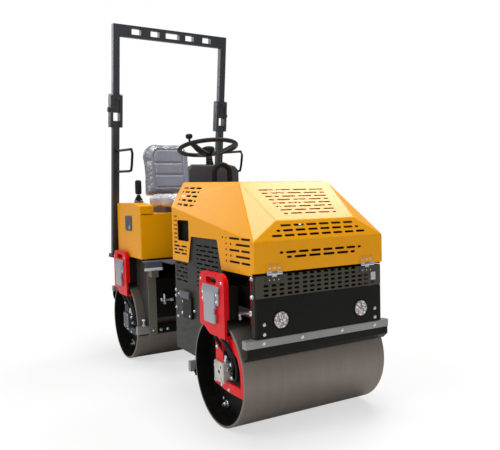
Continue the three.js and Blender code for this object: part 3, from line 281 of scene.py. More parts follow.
def on_plane(outline, origin, right, up, depth):
    """An outline drawn on a sloping plane, cut through it both ways by a depth."""
    right, up = Vector(right).normalized(), Vector(up).normalized()
    normal = right.cross(up)
    points = [Vector(origin) + right * u + up * v + normal * side
              for side in (-depth, depth) for u, v in outline]
    return shape(points, end_faces(2, len(outline)) + ring_faces(2, len(outline)))


def frames_along(points, closed=False):
    """A pair of directions across a path at each of its points, without twist."""
    points = [Vector(p) for p in points]
    count = len(points)
    ahead = []
    for i in range(count):
        before = points[i - 1] if closed or i else points[i]
        after = points[(i + 1) % count] if closed or i < count - 1 else points[i]
        ahead.append((after - before).normalized())
    side = ahead[0].orthogonal().normalized()
    result = []
    for direction in ahead:
        side = (side - direction * side.dot(direction)).normalized()
        result.append((side.copy(), direction.cross(side)))
    return result


def tube(points, radius, sides=14, closed=False):
    """A round tube along a path."""
    angles = [2 * math.pi * k / sides for k in range(sides)]
    verts = []
    for point, (side, up) in zip(points, frames_along(points, closed)):
        verts += [Vector(point) + side * radius * math.cos(a) + up * radius * math.sin(a) for a in angles]
    ends = [] if closed else end_faces(len(points), sides)
    return shape(verts, ring_faces(len(points), sides, closed) + ends)


def bent(points, bend):
    """The corners of a path made round, each within a distance bend of the corner."""
    points, steps = [Vector(p) for p in points], 6
    path = [points[0]]
    for before, corner, after in zip(points, points[1:], points[2:]):
        reach = min(bend, (before - corner).length / 2.01, (after - corner).length / 2.01)
        start = corner + (before - corner).normalized() * reach
        end = corner + (after - corner).normalized() * reach
        for t in (i / steps for i in range(steps + 1)):
            path.append(start * (1 - t) ** 2 + corner * 2 * t * (1 - t) + end * t ** 2)
    return path + [points[-1]]


def hose(points, radius):
    """A tube on a smooth path through the given points."""
    points, steps = [Vector(p) for p in points], 7
    run = [points[0] * 2 - points[1]] + points + [points[-1] * 2 - points[-2]]
    path = []
    for a, b, c, d in zip(run, run[1:], run[2:], run[3:]):
        for t in (i / steps for i in range(steps)):
            path.append(0.5 * ((2 * b) + (c - a) * t + (2 * a - 5 * b + 4 * c - d) * t * t
                               + (3 * b - a - 3 * c + d) * t ** 3))
    return tube(path + [points[-1]], radius)


def turned(profile, centre, direction, sides=48):
    """A body turned round an axis: a closed profile of (along, radius) points."""
    axis = Vector(direction).normalized()
    side = axis.orthogonal().normalized()
    up = axis.cross(side)
    verts, rings = [], []
    for along, radius in profile:
        base = Vector(centre) + axis * along
        if radius < 1e-6:
            rings.append([len(verts)] * sides)
            verts.append(base)
            continue
        rings.append([len(verts) + k for k in range(sides)])
        verts += [base + (side * math.cos(a) + up * math.sin(a)) * radius
                  for a in (2 * math.pi * k / sides for k in range(sides))]
    faces = []
    count = len(profile)
    closes = not (profile[0][1] < 1e-6 and profile[-1][1] < 1e-6)
    for i in range(count if closes else count - 1):
        a, b = rings[i], rings[(i + 1) % count]
        for k in range(sides):
            n = (k + 1) % sides
            corners = tuple(dict.fromkeys((a[k], a[n], b[n], b[k])))
            if len(corners) > 2:
                faces.append(corners)
    return shape(verts, faces)


def rod(start, end, radius, sides=24, chamfer=0.0):
    """A round bar between two points, with its rims chamfered."""
    length = (Vector(end) - Vector(start)).length
    c = min(chamfer, radius / 2, length / 3)
    profile = [(0, 0), (0, radius - c), (c, radius), (length - c, radius), (length, radius - c), (length, 0)]
    if not c:
        profile = [(0, 0), (0, radius), (length, radius), (length, 0)]
    return turned(profile, start, Vector(end) - Vector(start), sides)


def bar(axis, place, ends, radius, sides=24, chamfer=0.0):
    """A round bar along an axis, at a place in the two other axes."""
    start, end = ((*place[:axis], end, *place[axis:]) for end in ends)
    return rod(start, end, radius, sides, chamfer)


def bolt(at, direction, size=8.0, washer=True):
    """A hexagon head on a washer, standing on a face at a point."""
    axis = Vector(direction).normalized()
    at = Vector(at) - axis * 0.5
    thick = size * 0.22 if washer else 0
    head, radius = size * 0.6, size * 0.9
    parts = [rod(at, at + axis * (thick + 0.5), size * 1.12, 20, size * 0.06)] if washer else []
    parts.append(turned([(0, 0), (0, radius), (head * 0.8, radius), (head, radius * 0.86), (head, 0)],
                        at + axis * thick, axis, 6))
    parts.append(turned([(0, 0), (0, radius * 0.62), (head * 0.1, radius * 0.58), (head * 0.18, 0)],
                        at + axis * (thick + head), axis, 12))
    return merged(*parts)


def bolts(places, direction, size=8.0, washer=True):
    return merged(*[bolt(at, direction, size, washer) for at in places])


def brick(low, high, count, gap, odd):
    """Slots in a row between two ends: whole ones, or shifted by half with a half slot at each end."""
    width = (high - low - gap * (count - 1)) / count
    pitch = width + gap
    if not odd:
        return [(low + i * pitch, low + i * pitch + width) for i in range(count)]
    whole = [(low + (i + 0.5) * pitch, low + (i + 0.5) * pitch + width) for i in range(count - 1)]
    return [(low, low + pitch / 2 - gap)] + whole + [(high - pitch / 2 + gap, high)]


# ------------------------------------------------------------------ objects
def placed(name, built):
    """A new object from worked-on points and faces."""
    bmesh.ops.recalc_face_normals(built, faces=built.faces)
    mesh = bpy.data.meshes.new(name)
    built.to_mesh(mesh)
    built.free()
    obj = bpy.data.objects.new(name, mesh)
    scene.collection.objects.link(obj)
    return obj


def make(name, a_shape, weld=0.0):
    """A new object from a shape, its points closer than weld, in metres, made one."""
    points, faces = a_shape
    built = bmesh.new()
    verts = [built.verts.new(point) for point in (points * MM).tolist()]
    for face in faces:
        built.faces.new([verts[i] for i in face])
    if weld:
        bmesh.ops.remove_doubles(built, verts=built.verts, dist=weld)
    return placed(name, built)


def copied(name, node):
    """The mesh of a CAD node as a new object, with its flat faces made whole again."""
    built = bmesh.new()
    built.from_mesh(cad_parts[node].data)
    bmesh.ops.remove_doubles(built, verts=built.verts, dist=2e-5)
    bmesh.ops.dissolve_limit(built, angle_limit=math.radians(0.6), verts=built.verts, edges=built.edges)
    return placed(name, built)


def hull(name, points):
    """The convex body round some points, with whole flat faces."""
    built = bmesh.new()
    for point in points:
        built.verts.new(Vector(point) * MM)
    bmesh.ops.convex_hull(built, input=built.verts)
    bmesh.ops.delete(built, geom=[v for v in built.verts if not v.link_faces], context="VERTS")
    bmesh.ops.dissolve_limit(built, angle_limit=math.radians(0.5), verts=built.verts, edges=built.edges)
    return placed(name, built)


def settle(obj):
    """Applies an object's modifiers to its mesh."""
    graph = bpy.context.evaluated_depsgraph_get()
    mesh = bpy.data.meshes.new_from_object(obj.evaluated_get(graph))
    old = obj.data
    obj.modifiers.clear()
    obj.data = mesh
    bpy.data.meshes.remove(old)
    mesh.name = obj.name


def modified(obj, kind, **settings):
    step = obj.modifiers.new(kind.lower(), kind)
    for key, value in settings.items():
        setattr(step, key, value)
    settle(obj)
    return obj


def cut(obj, tool):
    """Takes a shape or another object out of an object."""
    tool = make("tool", tool) if isinstance(tool, tuple) else tool
    modified(obj, "BOOLEAN", solver="MANIFOLD", operation="DIFFERENCE", object=tool)
    mesh = tool.data
    bpy.data.objects.remove(tool)
    bpy.data.meshes.remove(mesh)
    return obj


def soften(obj, width, segments=2, angle=30):
    """Rounds an object's hard edges by a width in millimetres."""
    return modified(obj, "BEVEL", width=width * MM, segments=segments, limit_method="ANGLE",
                    angle_limit=math.radians(angle))


def finished(obj, surface, body, replaces=(), smooth=32):
    """Shades an object, gives it its surface and puts it on its body."""
    mesh = obj.data
    mesh.materials.clear()
    mesh.materials.append(surface)
    mesh.polygons.foreach_set("material_index", [0] * len(mesh.polygons))
    mesh.shade_smooth()
    mesh.set_sharp_from_angle(angle=math.radians(smooth))
    modified(obj, "WEIGHTED_NORMAL", keep_sharp=True)
    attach(obj, body)
    if replaces:
        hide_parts(*replaces)
    return obj


def split(obj, *places):
    """Cuts the faces of an object along planes across X, at places in millimetres."""
    built = bmesh.new()
    built.from_mesh(obj.data)
    for place in places:
        bmesh.ops.bisect_plane(built, geom=[*built.verts, *built.edges, *built.faces],
                               plane_co=(place * MM, 0, 0), plane_no=(1, 0, 0))
    built.to_mesh(obj.data)
    built.free()


def repaint(obj, surface, where):
    """Gives another surface to the faces whose centre, in millimetres, passes a test."""
    obj.data.materials.append(surface)
    index = len(obj.data.materials) - 1
    for face in obj.data.polygons:
        if where(face.center / MM):
            face.material_index = index


def piece(name, shapes, surface, body, replaces=(), edge=0.0, cuts=(), segments=2):
    """A new piece from shapes, with shapes cut out of it and its hard edges rounded."""
    obj = make(name, merged(*shapes) if isinstance(shapes, list) else shapes)
    for tool in cuts:
        cut(obj, tool)
    if edge:
        soften(obj, edge, segments)
    return finished(obj, surface, body, replaces)


def reworked(node, surface, body, edge, cuts=(), segments=2, smooth=32, seams=()):
    """A CAD node's own shape with cuts and rounded edges, standing for the node. Seams are
    planes across X that part its faces, so that each part can have a surface of its own."""
    obj = copied(f"{node}_piece", node)
    for tool in cuts:
        cut(obj, tool)
    if edge:
        soften(obj, edge, segments)
    if seams:
        split(obj, *seams)
    return finished(obj, surface, body, (node,), smooth)


# ----------------------------------------------------------------------- hood
hood = span("hood")
HOOD_HALF, HOOD_REAR, HOOD_FOOT = hood[X][1], hood[Y][1], hood[Z][0]
HOOD_FACE = hood[Y][0] + 12  # its hinges' knuckles stand ahead of it
SHOULDER_FRONT = Vector((HOOD_HALF, HOOD_FACE, HOOD_FOOT + 159))
SHOULDER_REAR = Vector((HOOD_HALF, HOOD_REAR - 57, HOOD_FOOT + 319))
NOSE = Vector((HOOD_HALF - 154, HOOD_FACE + 44, HOOD_FOOT + 253))
CREST = Vector((HOOD_HALF - 110, HOOD_FACE + 326, HOOD_FOOT + 449))
RIDGE = Vector((HOOD_HALF - 110, HOOD_REAR, HOOD_FOOT + 470))
SERVICE_CUT = HOOD_FOOT + 153  # the top of the opening in each side
THROUGH = (-HOOD_HALF - 5, HOOD_HALF + 5)  # past both sides, for a cutter
LEFT = Vector((1, 0, 0))


def hood_body(name, inset):
    """The hood's faceted body, run on past its foot and its rear rim, which are cut off later."""
    ridge = RIDGE + (RIDGE - CREST) * 0.08
    shoulder = SHOULDER_REAR + (SHOULDER_REAR - SHOULDER_FRONT) * 0.06
    foot = HOOD_FOOT - 40
    corners = [  # place, then how far the sheet's inside draws back along each axis
        (*SHOULDER_FRONT, 1, 1, 0.5), (*shoulder, 1, 0, 0.5), (*NOSE, 0.5, 0.8, 0.9),
        (*CREST, 0.5, 0.4, 1), (*ridge, 0.5, 0, 1), (HOOD_HALF, HOOD_FACE, foot, 1, 1, 0),
        (HOOD_HALF, shoulder.y, foot, 1, 0, 0), (ridge.x, ridge.y, foot, 0.5, 0, 0),
    ]
    return hull(name, [(sign * (x - inset * dx), y + inset * dy, z - inset * dz)
                       for x, y, z, dx, dy, dz in corners for _, sign in SIDES])


def slope_slots():
    """Ventilation slots on the hood's sloping faces and its front."""
    def on_slope(rows, low, high, gap, height):
        """Rows of slots, each with its place down the slope, half its width, count and shift."""
        slope = Vector((0, high.y - low.y, high.z - low.z))
        return [on_plane(stadium(u, v, height), (0, high.y, high.z), LEFT, slope, 14)
                for v, half, count, odd in rows for u in brick(-half, half, count, gap, odd)]

    top_rows = [(-77 - 29.9 * row, 206 - 6 * row, 4, row % 2) for row in range(8)]
    nose_rows = ((-25, 222, 6, 0), (-51, 252, 7, 1), (-77, 285, 8, 0))
    cutters = on_slope(top_rows, NOSE, CREST, 17, 11) + on_slope(nose_rows, SHOULDER_FRONT, NOSE, 15, 12)
    for z, half, count in ((903, 250, 7), (880, 209, 5)):
        cutters += [plate(Y, stadium(u, z, 12), (HOOD_FACE - 8, HOOD_FACE + 12))
                    for u in brick(-half, half, count, 15, True)]
    for _, sign in SIDES:
        ridge, crest, shoulder = (Vector((sign * p.x, p.y, p.z)) for p in (RIDGE, CREST, SHOULDER_REAR))
        along = (crest - ridge).normalized()
        up = ridge - shoulder
        up -= along * up.dot(along)
        cutters += [on_plane(stadium(u, -44 - 29 * row, 14), ridge, along, up, 14)
                    for row in range(5) for u in brick(66 + 14 * row, 318 + 6 * row, 3, 18, row % 2)]
    return cutters


def side_slots():
    """Slots in the hood's rear and front legs, through both sides at once."""
    rows = [(-172, -124, 1064 - 25.5 * row) for row in range(7)]  # two ends along Y, and the height
    long, short = ((-212, -124), (-310, -228)), ((-170, -124), (-268, -186), (-310, -284))
    for z, ends in ((889, long), (868, short), (847, long)):
        rows += [(*pair, z) for pair in ends]
    long, short = ((-812, -798), (-945, -838), (-1046, -961)), ((-812, -798), (-862, -846), (-1046, -905))
    for row in range(5):
        rows += [(*pair, 969 - 29 * row) for pair in (short if row % 2 else long)]
    rows.append((-772, -758, 969))
    return [plate(X, stadium((a, b), z, 11), THROUGH) for a, b, z in rows]


shell = soften(hood_body("hood_shell", 0), 5, 4, 4)
inner = hood_body("tool", 3)
for vertex in inner.data.vertices:
    if vertex.co.y > HOOD_REAR * MM:
        vertex.co.y += 0.05
    if vertex.co.z < HOOD_FOOT * MM:
        vertex.co.z -= 0.02
cut(shell, inner)
behind = [(RIDGE.x, HOOD_REAR), (HOOD_HALF, SHOULDER_REAR.y), (600, SHOULDER_REAR.y - 106), (600, 300)]
behind = [(-x, y) for x, y in behind] + behind[::-1]
for tool in (
        plate(Z, behind, (600, 1500)),
        block((-600, 600), (-1500, 300), (600, HOOD_FOOT)),
        plate(X, [(-318, HOOD_FOOT - 30), (-371, SERVICE_CUT), (-701, SERVICE_CUT), (-755, HOOD_FOOT - 30)],
              THROUGH),
        block(THROUGH, (HOOD_FACE - 2, HOOD_FACE + 18), (HOOD_FOOT - 20, HOOD_FOOT + 12)),
        plate(X, rounded((-343, -180), (HOOD_FOOT + 122, HOOD_FOOT + 243), 10), THROUGH),
        merged(*slope_slots(), *side_slots())):
    cut(shell, tool)
finished(shell, yellow, "hood", ("hood",), 24)

HINGE_Y, HINGE_Z = HOOD_FACE - 6, HOOD_FOOT + 6
HINGE_HALF = 43  # half the hinge's width; its middle knuckle takes a third


def knuckle(low, high, leaf_y, leaf_z):
    """A hinge's knuckle between two places along X, with the root of its leaf."""
    return [bar(X, (HINGE_Y, HINGE_Z), (low, high), 6, 24, 0.8), block((low, high), leaf_y, leaf_z)]


leaves, knuckles, leaf_bolts, fixed_bolts = [], [], [], []
for name, sign in SIDES:
    centre = sign * RIDGE.x
    across = (centre - HINGE_HALF, centre + HINGE_HALF)
    leaf = rounded(across, (HINGE_Z + 12, HINGE_Z + 44), 4)
    leaves.append(plate(Y, leaf, (HOOD_FACE - 4, HOOD_FACE + 0.2)))
    leaf_bolts += [(centre + x, HOOD_FACE - 4, HINGE_Z + 29) for x in (-26, 0, 26)]
    fixed_bolts += [(centre + x, HOOD_FACE + 4, HINGE_Z - 29) for x in (-26, 0, 26)]
    for low, high in ((-HINGE_HALF, -15.3), (15.3, HINGE_HALF)):
        knuckles += knuckle(centre + low, centre + high, (HOOD_FACE - 6, HOOD_FACE - 3.5),
                            (HINGE_Z + 1, HINGE_Z + 13))
    fixed = plate(Y, rounded(across, (HINGE_Z - 44, HINGE_Z - 12), 4), (HOOD_FACE - 1, HOOD_FACE + 3.9))
    piece(f"hinge_leaf_{name}", fixed, panel_olive, FRONT, (f"hood_hinge_{name}",), edge=0.8)
    piece(f"hinge_knuckle_{name}", [
        bar(X, (HINGE_Y, HINGE_Z), (centre - 14.3, centre + 14.3), 6, 24, 0.8),
        block((centre - 14, centre + 14), (HOOD_FACE - 5, HOOD_FACE - 1), (HINGE_Z - 14, HINGE_Z - 1))],
        bright, FRONT)
piece("hood_leaves", leaves, yellow, "hood", edge=0.8)
piece("hood_knuckles", knuckles, bright, "hood")
piece("hood_hinge_bolts", bolts(leaf_bolts, (0, -1, 0), 6.5), bright, "hood")
piece("fixed_hinge_bolts", bolts(fixed_bolts, (0, -1, 0), 6.5), bright, FRONT)

# --------------------------------------------------------------- front panels
grille = span("grille_panel")
face = grille[Y][0]
columns = [-327, -283, -239, -193, -152, -103, -61, -19, 26, 68, 112, 157, 201, 243, 284]
slots = [plate(Y, stadium((x - 14.5, x + 14.5), 705.5 + 22 * row, 12), (face - 3, grille[Y][1] + 3))
         for x in columns for row in range(3 if abs(x) > 215 else 5)]
piece("grille_plate", plate(Y, rounded(grille[X], grille[Z], 3), grille[Y]), panel_olive, FRONT,
      ("grille_panel",), cuts=(merged(*slots),), edge=0.5)
piece("front_latch", [plate(Y, rounded((314, 346), (722, 764), 4), (face - 5, face + 0.2)),
                      plate(Y, rounded((320, 340), (728, 738), 3), (face - 8, face - 4))],
      bright, FRONT, edge=1.2, segments=3)
# A flat dark patch shaped like a slot: painted shade standing for the latch's opening
piece("front_latch_slot", plate(Y, stadium((316, 344), 708, 8), (face - 1.2, face + 0.2)), rubber, FRONT)


def end_panel(name, node, lamp_node, ahead, body):
    """A black panel across one end of the machine, with a hole for each lamp."""
    panel = span(node)
    x, z = middle("headlight_left")[X], middle(lamp_node)[Z]
    holes = [bar(Y, (sign * x, z), (panel[Y][0] - 5, panel[Y][1] + 5), 48, 48) for _, sign in SIDES]
    piece(name, plate(Y, rounded(panel[X], panel[Z], 3), panel[Y]), black, body, (node,),
          cuts=(merged(*holes),), edge=1.0)
    front = panel[Y][0] if ahead < 0 else panel[Y][1]
    at = [(sign * 342, front, panel[Z][0] + height) for _, sign in SIDES for height in (21, 68)]
    piece(f"{name}_bolts", bolts(at, (0, ahead, 0), 8), bright, body)


end_panel("lamp_plate", "lamp_panel", "headlight_left", -1, FRONT)
end_panel("tail_plate", "tail_panel", "tail_lamp_left", 1, REAR)


def round_lamp(node, ahead, body, glass, ripples):
    """A round lamp: a bezel, a bowl behind and a domed lens with a rippled pattern."""
    x, y, _ = span(node)
    cx, _, cz = middle(node)
    radius = (x[1] - x[0]) / 2
    back, front = y[::ahead]
    rim = abs(front - back) - 5
    base, out = (cx, back, cz), (0, ahead, 0)
    piece(f"{node}_bezel", turned([(0, radius - 8), (0, radius - 1), (rim - 3, radius), (rim, radius - 2),
                                   (rim + 1, radius - 5), (rim - 2, radius - 8)], base, out, 56),
          black, body, (node,))
    piece(f"{node}_bowl", turned([(0, 0), (0, radius - 8), (rim - 4, radius - 8.2), (rim - 9, radius - 14),
                                  (4, 12), (3, 0)], base, out, 48), reflector, body)
    rings, sectors, lens_radius = 16, 56, radius - 7.5
    verts = []
    for i in range(rings + 1):
        for px, pz in around(lens_radius * i / rings, sectors):
            dome = 5 * (1 - (i / rings) ** 2)
            ripple = 1.1 * math.sin(px * ripples) * math.sin(pz * ripples) if 0 < i < rings else 0
            verts.append((cx + px, front + ahead * (dome + ripple - 5.8), cz + pz))
    verts += [(cx + px, front - ahead * 9, cz + pz) for px, pz in around(lens_radius, sectors)]
    faces = ring_faces(rings + 2, sectors) + end_faces(rings + 2, sectors)[1:]
    finished(make(f"{node}_lens", shape(verts, faces), 1e-6), glass, body)


for name, _ in SIDES:
    round_lamp(f"headlight_{name}", -1, FRONT, lens, 0.62)
    round_lamp(f"tail_lamp_{name}", 1, REAR, red_lens, 0.5)

# Side panels with louvre slots, under the hood, cut away behind the hood's window
for name, _ in SIDES:
    vent = span(f"vent_panel_{name}")
    through = (vent[X][0] - 3, vent[X][1] + 3)
    cutters = [plate(X, stadium(ends, top - 25 * row, 9), through)
               for rows, low, high, count, top in ((10, -690, -420, 3, 905), (5, -288, -132, 2, 784))
               for row in range(rows) for ends in brick(low, high, count, 20, row % 2)]
    cutters.append(block(through, (-360, -96), (915, 1000)))
    piece(f"vent_plate_{name}", plate(X, rounded(vent[Y], vent[Z], 6), vent[X]), frame_grey, FRONT,
          (f"vent_panel_{name}",), cuts=(merged(*cutters),), edge=0.6)

# ---------------------------------------------------------------------- drums
def mirrored(profile):
    """A profile of (along, radius) points, carried on from its mirror image."""
    return [(-along, radius) for along, radius in reversed(profile)] + profile


def drum_pieces(end):
    """A drum's shell, its two discs with their hubs and holes, and their bolts and plugs."""
    node = f"{end}_drum"
    drum, (_, axle_y, axle_z) = span(node), middle(node)
    centre = (0, axle_y, axle_z)
    half, radius = drum[X][1], (drum[Z][1] - drum[Z][0]) / 2
    inner, disc = radius - 14, half - 92  # inside the shell; the disc's outer face
    hub_face, hub = disc + 19, 60

    rim = [(half - 3, radius), (half, radius - 3), (half, inner + 2), (half - 2, inner)]
    shell = piece(f"{node}_shell", turned(mirrored(rim), centre, (1, 0, 0), 192), drum_steel, node, (node,))
    repaint(shell, disc_paint, lambda c: math.hypot(c.y - axle_y, c.z - axle_z) < inner + 3)
    profile = [(disc - 12, 45), (disc - 12, inner - 6), (disc - 6, inner + 1), (disc, inner + 1),
               (disc + 5, inner - 1), (disc, inner - 12), (disc, hub + 6), (disc + 4, hub), (hub_face - 2, hub),
               (hub_face, hub - 2), (hub_face, 20), (hub_face + 35, 20), (hub_face + 35, 0)]
    holes = [bar(X, (axle_y + y, axle_z + z), (-half, half), 34, 40) for y, z in around(165, 3, 90)]
    piece(f"{node}_core", turned(mirrored(profile), centre, (1, 0, 0), 96), disc_paint, node,
          cuts=(merged(*holes),))
    ring, plugs = [], []
    for _, sign in SIDES:
        ring += [bolt((sign * hub_face, axle_y + y, axle_z + z), (sign, 0, 0), 5.5, False)
                 for y, z in around(44, 8, 22.5)]
        ring.append(bolt((sign * disc, axle_y + 124, axle_z - 190), (sign, 0, 0), 8))
        plugs += [bar(X, (axle_y + 74, axle_z - 206), (sign * (disc + low), sign * (disc + high)), *size)
                  for low, high, *size in ((-1, 12, 21, 28, 2), (11, 26, 14, 6, 1.5), (25, 34, 7, 16, 1))]
    piece(f"{end}_hub_bolts", merged(*ring), bright, node)
    piece(f"{end}_drum_plugs", plugs, bright, node)


for end, _, _ in ENDS:
    drum_pieces(end)

# ----------------------------------------------------- arms, covers and motors
MOTOR_LINES = (  # radius, then the way from a port on the valve block to the arm's top
    (9, (405, -34, 88), (414, -20, 112), (430, -2, 150), (446, 6, 190)),
    (9, (405, -62, 22), (410, -100, 28), (416, -128, 62), (424, -112, 118), (440, -62, 188)),
    (8, (395, -62, -20), (404, -128, -18), (412, -160, 24), (418, -150, 96), (434, -96, 164), (445, -72, 192)))
MOTOR_FITTINGS = (  # start, end, radius, sides, chamfer
    ((405, -34, 51), (405, -34, 72), 13, 6, 1.5), ((405, -34, 70), (405, -34, 90), 10.5, 24, 1),
    ((405, -51, 22), (405, -66, 22), 13, 6, 1.5), ((395, -51, -20), (395, -66, -20), 12, 6, 1.5))
BORE, BLOCK, BODY = 21.5, 52, 66  # the stub axle's bore, half the valve block, the motor's radius
# The inside of each port is painted with the dark rubber: painted shade in the hole
PORTS = ((0, 0, 9.5, 12), (-20, 27, 6, 8))  # along and up from the axle, radius, and its dark rim's
ARM_BOLTS = ((-116, 62), (-120, -4), (-88, -74), (-14, -64), (60, -56), (62, 20), (36, 122))


def in_and_out(node):
    """How far from the machine's middle a node on one side begins and ends."""
    return sorted(abs(v) for v in span(node)[X])


def outward(sign, *distances):
    """Distances from the machine's middle, as places along X on one side."""
    return [sign * out for out in distances]


def from_axle(end, sign, out, y=0.0, z=0.0):
    """A place by its distance from the machine's middle, and its distances from an axle."""
    _, axle_y, axle_z = middle(f"{end}_drum")
    return (sign * out, axle_y + y, axle_z + z)


def arm_piece(end, module, name, sign):
    """A red arm, black inside above the drum, with its lower rear corner cut away."""
    axle_y, (_, outer) = middle(f"{end}_drum")[Y], in_and_out(f"{end}_arm_{name}")
    web = outer - 27
    clear = [(axle_y + y, z) for y, z in ((150, 460), (150, 512), (96, 512), (22, 477), (22, 460))]
    arm = reworked(f"{end}_arm_{name}", red, module, 2.2, seams=(-web, web),
                   cuts=(plate(X, clear, outward(sign, 421, outer + 5)),))
    repaint(arm, black, lambda c: abs(c.x) < web + 0.2 and c.z > 566)
    if end == "rear":
        repaint(arm, black, lambda c: c.z < 477)


def isolator_cover(end, module, name, sign):
    """An isolator's cover: a deep box under a sloping top, with a bolted ear on each side."""
    node = f"{end}_isolator_cover_{name}"
    across = partial(outward, sign)
    (inside, outside), (_, (low, high), (_, top)) = in_and_out(node), span(node)
    ear = top - 96
    ears = [(low + 8, ear), (high - 8, ear), (high, ear + 12), (high, top - 22), (low, top - 22),
            (low, ear + 12)]
    slope = ((inside, top - 34), (outside - 1, top - 34), (inside + 3, top), (inside, top))
    wedge = plate(Y, [(sign * out, z) for out, z in slope], (low, high))
    piece(f"{end}_cover_{name}", [plate(X, ears, across(inside, inside + 7)), wedge], silver, module, (node,),
          edge=1.6, segments=3)
    lid = make(f"{end}_lid_{name}", plate(X, rounded((low + 30, high - 30), (top - 190, top - 30), 8, 4),
                                          across(inside + 0.2, outside - 0.2)))
    cut(lid, block(across(inside - 3, outside + 3), (low + 20, low + 40), (ear - 44, ear - 18)))
    finished(soften(lid, 4, 4, 50), silver, module)
    heads = [(sign * (inside + 7), y, z) for y in (low + 14, high - 14) for z in (ear + 20, ear + 54)]
    piece(f"{end}_cover_bolts_{name}", bolts(heads, (sign, 0, 0), 8.5), bright, module)


def hub_motor(end, module, name, sign):
    """A hub motor: a round body, and a square valve block with its ports, bolts and lines."""
    at, across, outwards = partial(from_axle, end, sign), partial(outward, sign), (sign, 0, 0)
    _, axle_y, axle_z = middle(f"{end}_drum")
    motor_in, motor_out = in_and_out(f"{end}_motor_{name}")
    flange = motor_out - 54
    valve = make(f"{end}_motor_block_{name}", plate(
        X, rounded((axle_y - BLOCK, axle_y + BLOCK), (axle_z - BLOCK, axle_z + BLOCK), 3),
        across(flange, motor_out)))
    cut(valve, rod(at(flange - 1), at(flange + 32), BORE, 48))
    for y, z, radius, _ in PORTS:
        cut(valve, rod(at(motor_out - 9, y, z), at(motor_out + 3, y, z), radius, 28))
    for y, z in (((15, 18), (-60, 60)), ((-60, 60), (-21, -18))):
        groove = across(motor_out - 1.6, motor_out + 3)
        cut(valve, block(groove, [axle_y + v for v in y], [axle_z + v for v in z]))
    soften(valve, 1.2)
    # The rear valve block takes a darker grey than the front one: painted shade for the rear motor lying in
    # shadow
    finished(valve, cast if end == "front" else latch_grey, module, (f"{end}_motor_{name}",))
    # Painted shade: the faces inside each port take the dark rubber
    for y, z, _, rim in PORTS:
        repaint(valve, rubber, lambda c: flange + 34 < abs(c.x) < motor_out - 2
                and math.hypot(c.y - axle_y - y, c.z - axle_z - z) < rim)
    heads = [at(motor_out, y, z) for y in (-41, 41) for z in (-41, 41)]
    piece(f"{end}_motor_bolts_{name}", bolts(heads, outwards, 6, False), cast, module)
    length = flange - motor_in + 0.5
    round_body = [(0, BORE), (0, BODY - 4), (4, BODY), (length, BODY), (length, BORE)]
    piece(f"{end}_motor_body_{name}", turned(round_body, at(motor_in), outwards, 56), black, module)
    lines = [hose([at(*p) for p in way], radius) for radius, *way in MOTOR_LINES]
    piece(f"{end}_motor_lines_{name}", lines, rubber, module)
    fittings = [rod(at(*a), at(*b), *size) for a, b, *size in MOTOR_FITTINGS]
    piece(f"{end}_motor_fittings_{name}", fittings, bright, module)


def arm_bolts(end, module, name, sign):
    """The bolts on an arm's web, and the two at its top."""
    axle_y, (_, outer) = middle(f"{end}_drum")[Y], in_and_out(f"{end}_arm_{name}")
    heads = [from_axle(end, sign, 420, *place) for place in ARM_BOLTS]
    piece(f"{end}_arm_bolts_{name}", bolts(heads, (sign, 0, 0), 8.5), bright, module)
    heads = [(sign * outer, axle_y + y, 752) for y in (-116, 116)]
    piece(f"{end}_arm_top_bolts_{name}", bolts(heads, (sign, 0, 0), 7), bright, module)


for end, module, _ in ENDS:
    for name, sign in SIDES:
        for build in (arm_piece, isolator_cover, hub_motor, arm_bolts):
            build(end, module, name, sign)

# ------------------------------------------------- beams, scrapers, both frames
for end, module, ahead in ENDS:
    beam = span(f"{end}_beam")
    reworked(f"{end}_beam", beam_grey, module, 2.5, segments=3)
    face = beam[Y][0] if ahead < 0 else beam[Y][1]
    heads = [(x, face, sum(beam[Z]) / 2 + 1) for x in (-345, -124, 123, 341)]
    piece(f"{end}_beam_bolts", bolts(heads, (0, ahead, 0), 9), bright, module)
    reworked(f"{end}_scraper", black, module, 1.0)

    # The inner scraper: a bright bar beyond the side plates, black between them
    top = span(f"{end}_inner_scraper")[Z][1]
    inner_scraper = reworked(f"{end}_inner_scraper", black, module, 1.5, seams=(-365, 365))
    repaint(inner_scraper, beam_grey, lambda c: abs(c.x) > 365 and c.z > top - 42)
    fittings = []
    for _, sign in SIDES:
        # Above the bar's top: low, high, radius, sides, chamfer
        fittings += [bar(Z, (sign * 405, ahead * 445), (top + low, top + high), *size) for low, high, *size in (
            (-2, 52, 6, 20, 1), (-0.5, 9, 13, 6, 1.5), (34, 48, 13, 6, 1.5), (9, 12, 17, 24, 0.6))]
        fittings += [bolt((sign * x, ahead * 430, 252), (0, -ahead, 0), 11) for x in (285, 235)]
    piece(f"{end}_inner_tensioners", fittings, bright, module)

reworked("front_frame", frame_grey, FRONT, 1.6)
rear_frame = reworked("rear_frame", frame_grey, REAR, 1.6)
# Painted light: the legs take the lighter copy of the frame's grey
repaint(rear_frame, leg_lit_grey, lambda c: c.y < 387 and abs(c.x) > 325 and c.z < 692)
repaint(rear_frame, black, lambda c: 386 < c.y < 401 and abs(c.x) < 345)
for node, surface, body, edge in (
        ("articulation_pin", bright, FRONT, 2.0), ("pivot_yoke", black, "pivot_yoke", 2.0),
        ("steering_barrel", black, "steering_barrel", 1.2), ("steering_rod", bright, "steering_rod", 0.8),
        ("engine_bulkhead", frame_grey, FRONT, 1.0)):
    reworked(node, surface, body, edge)

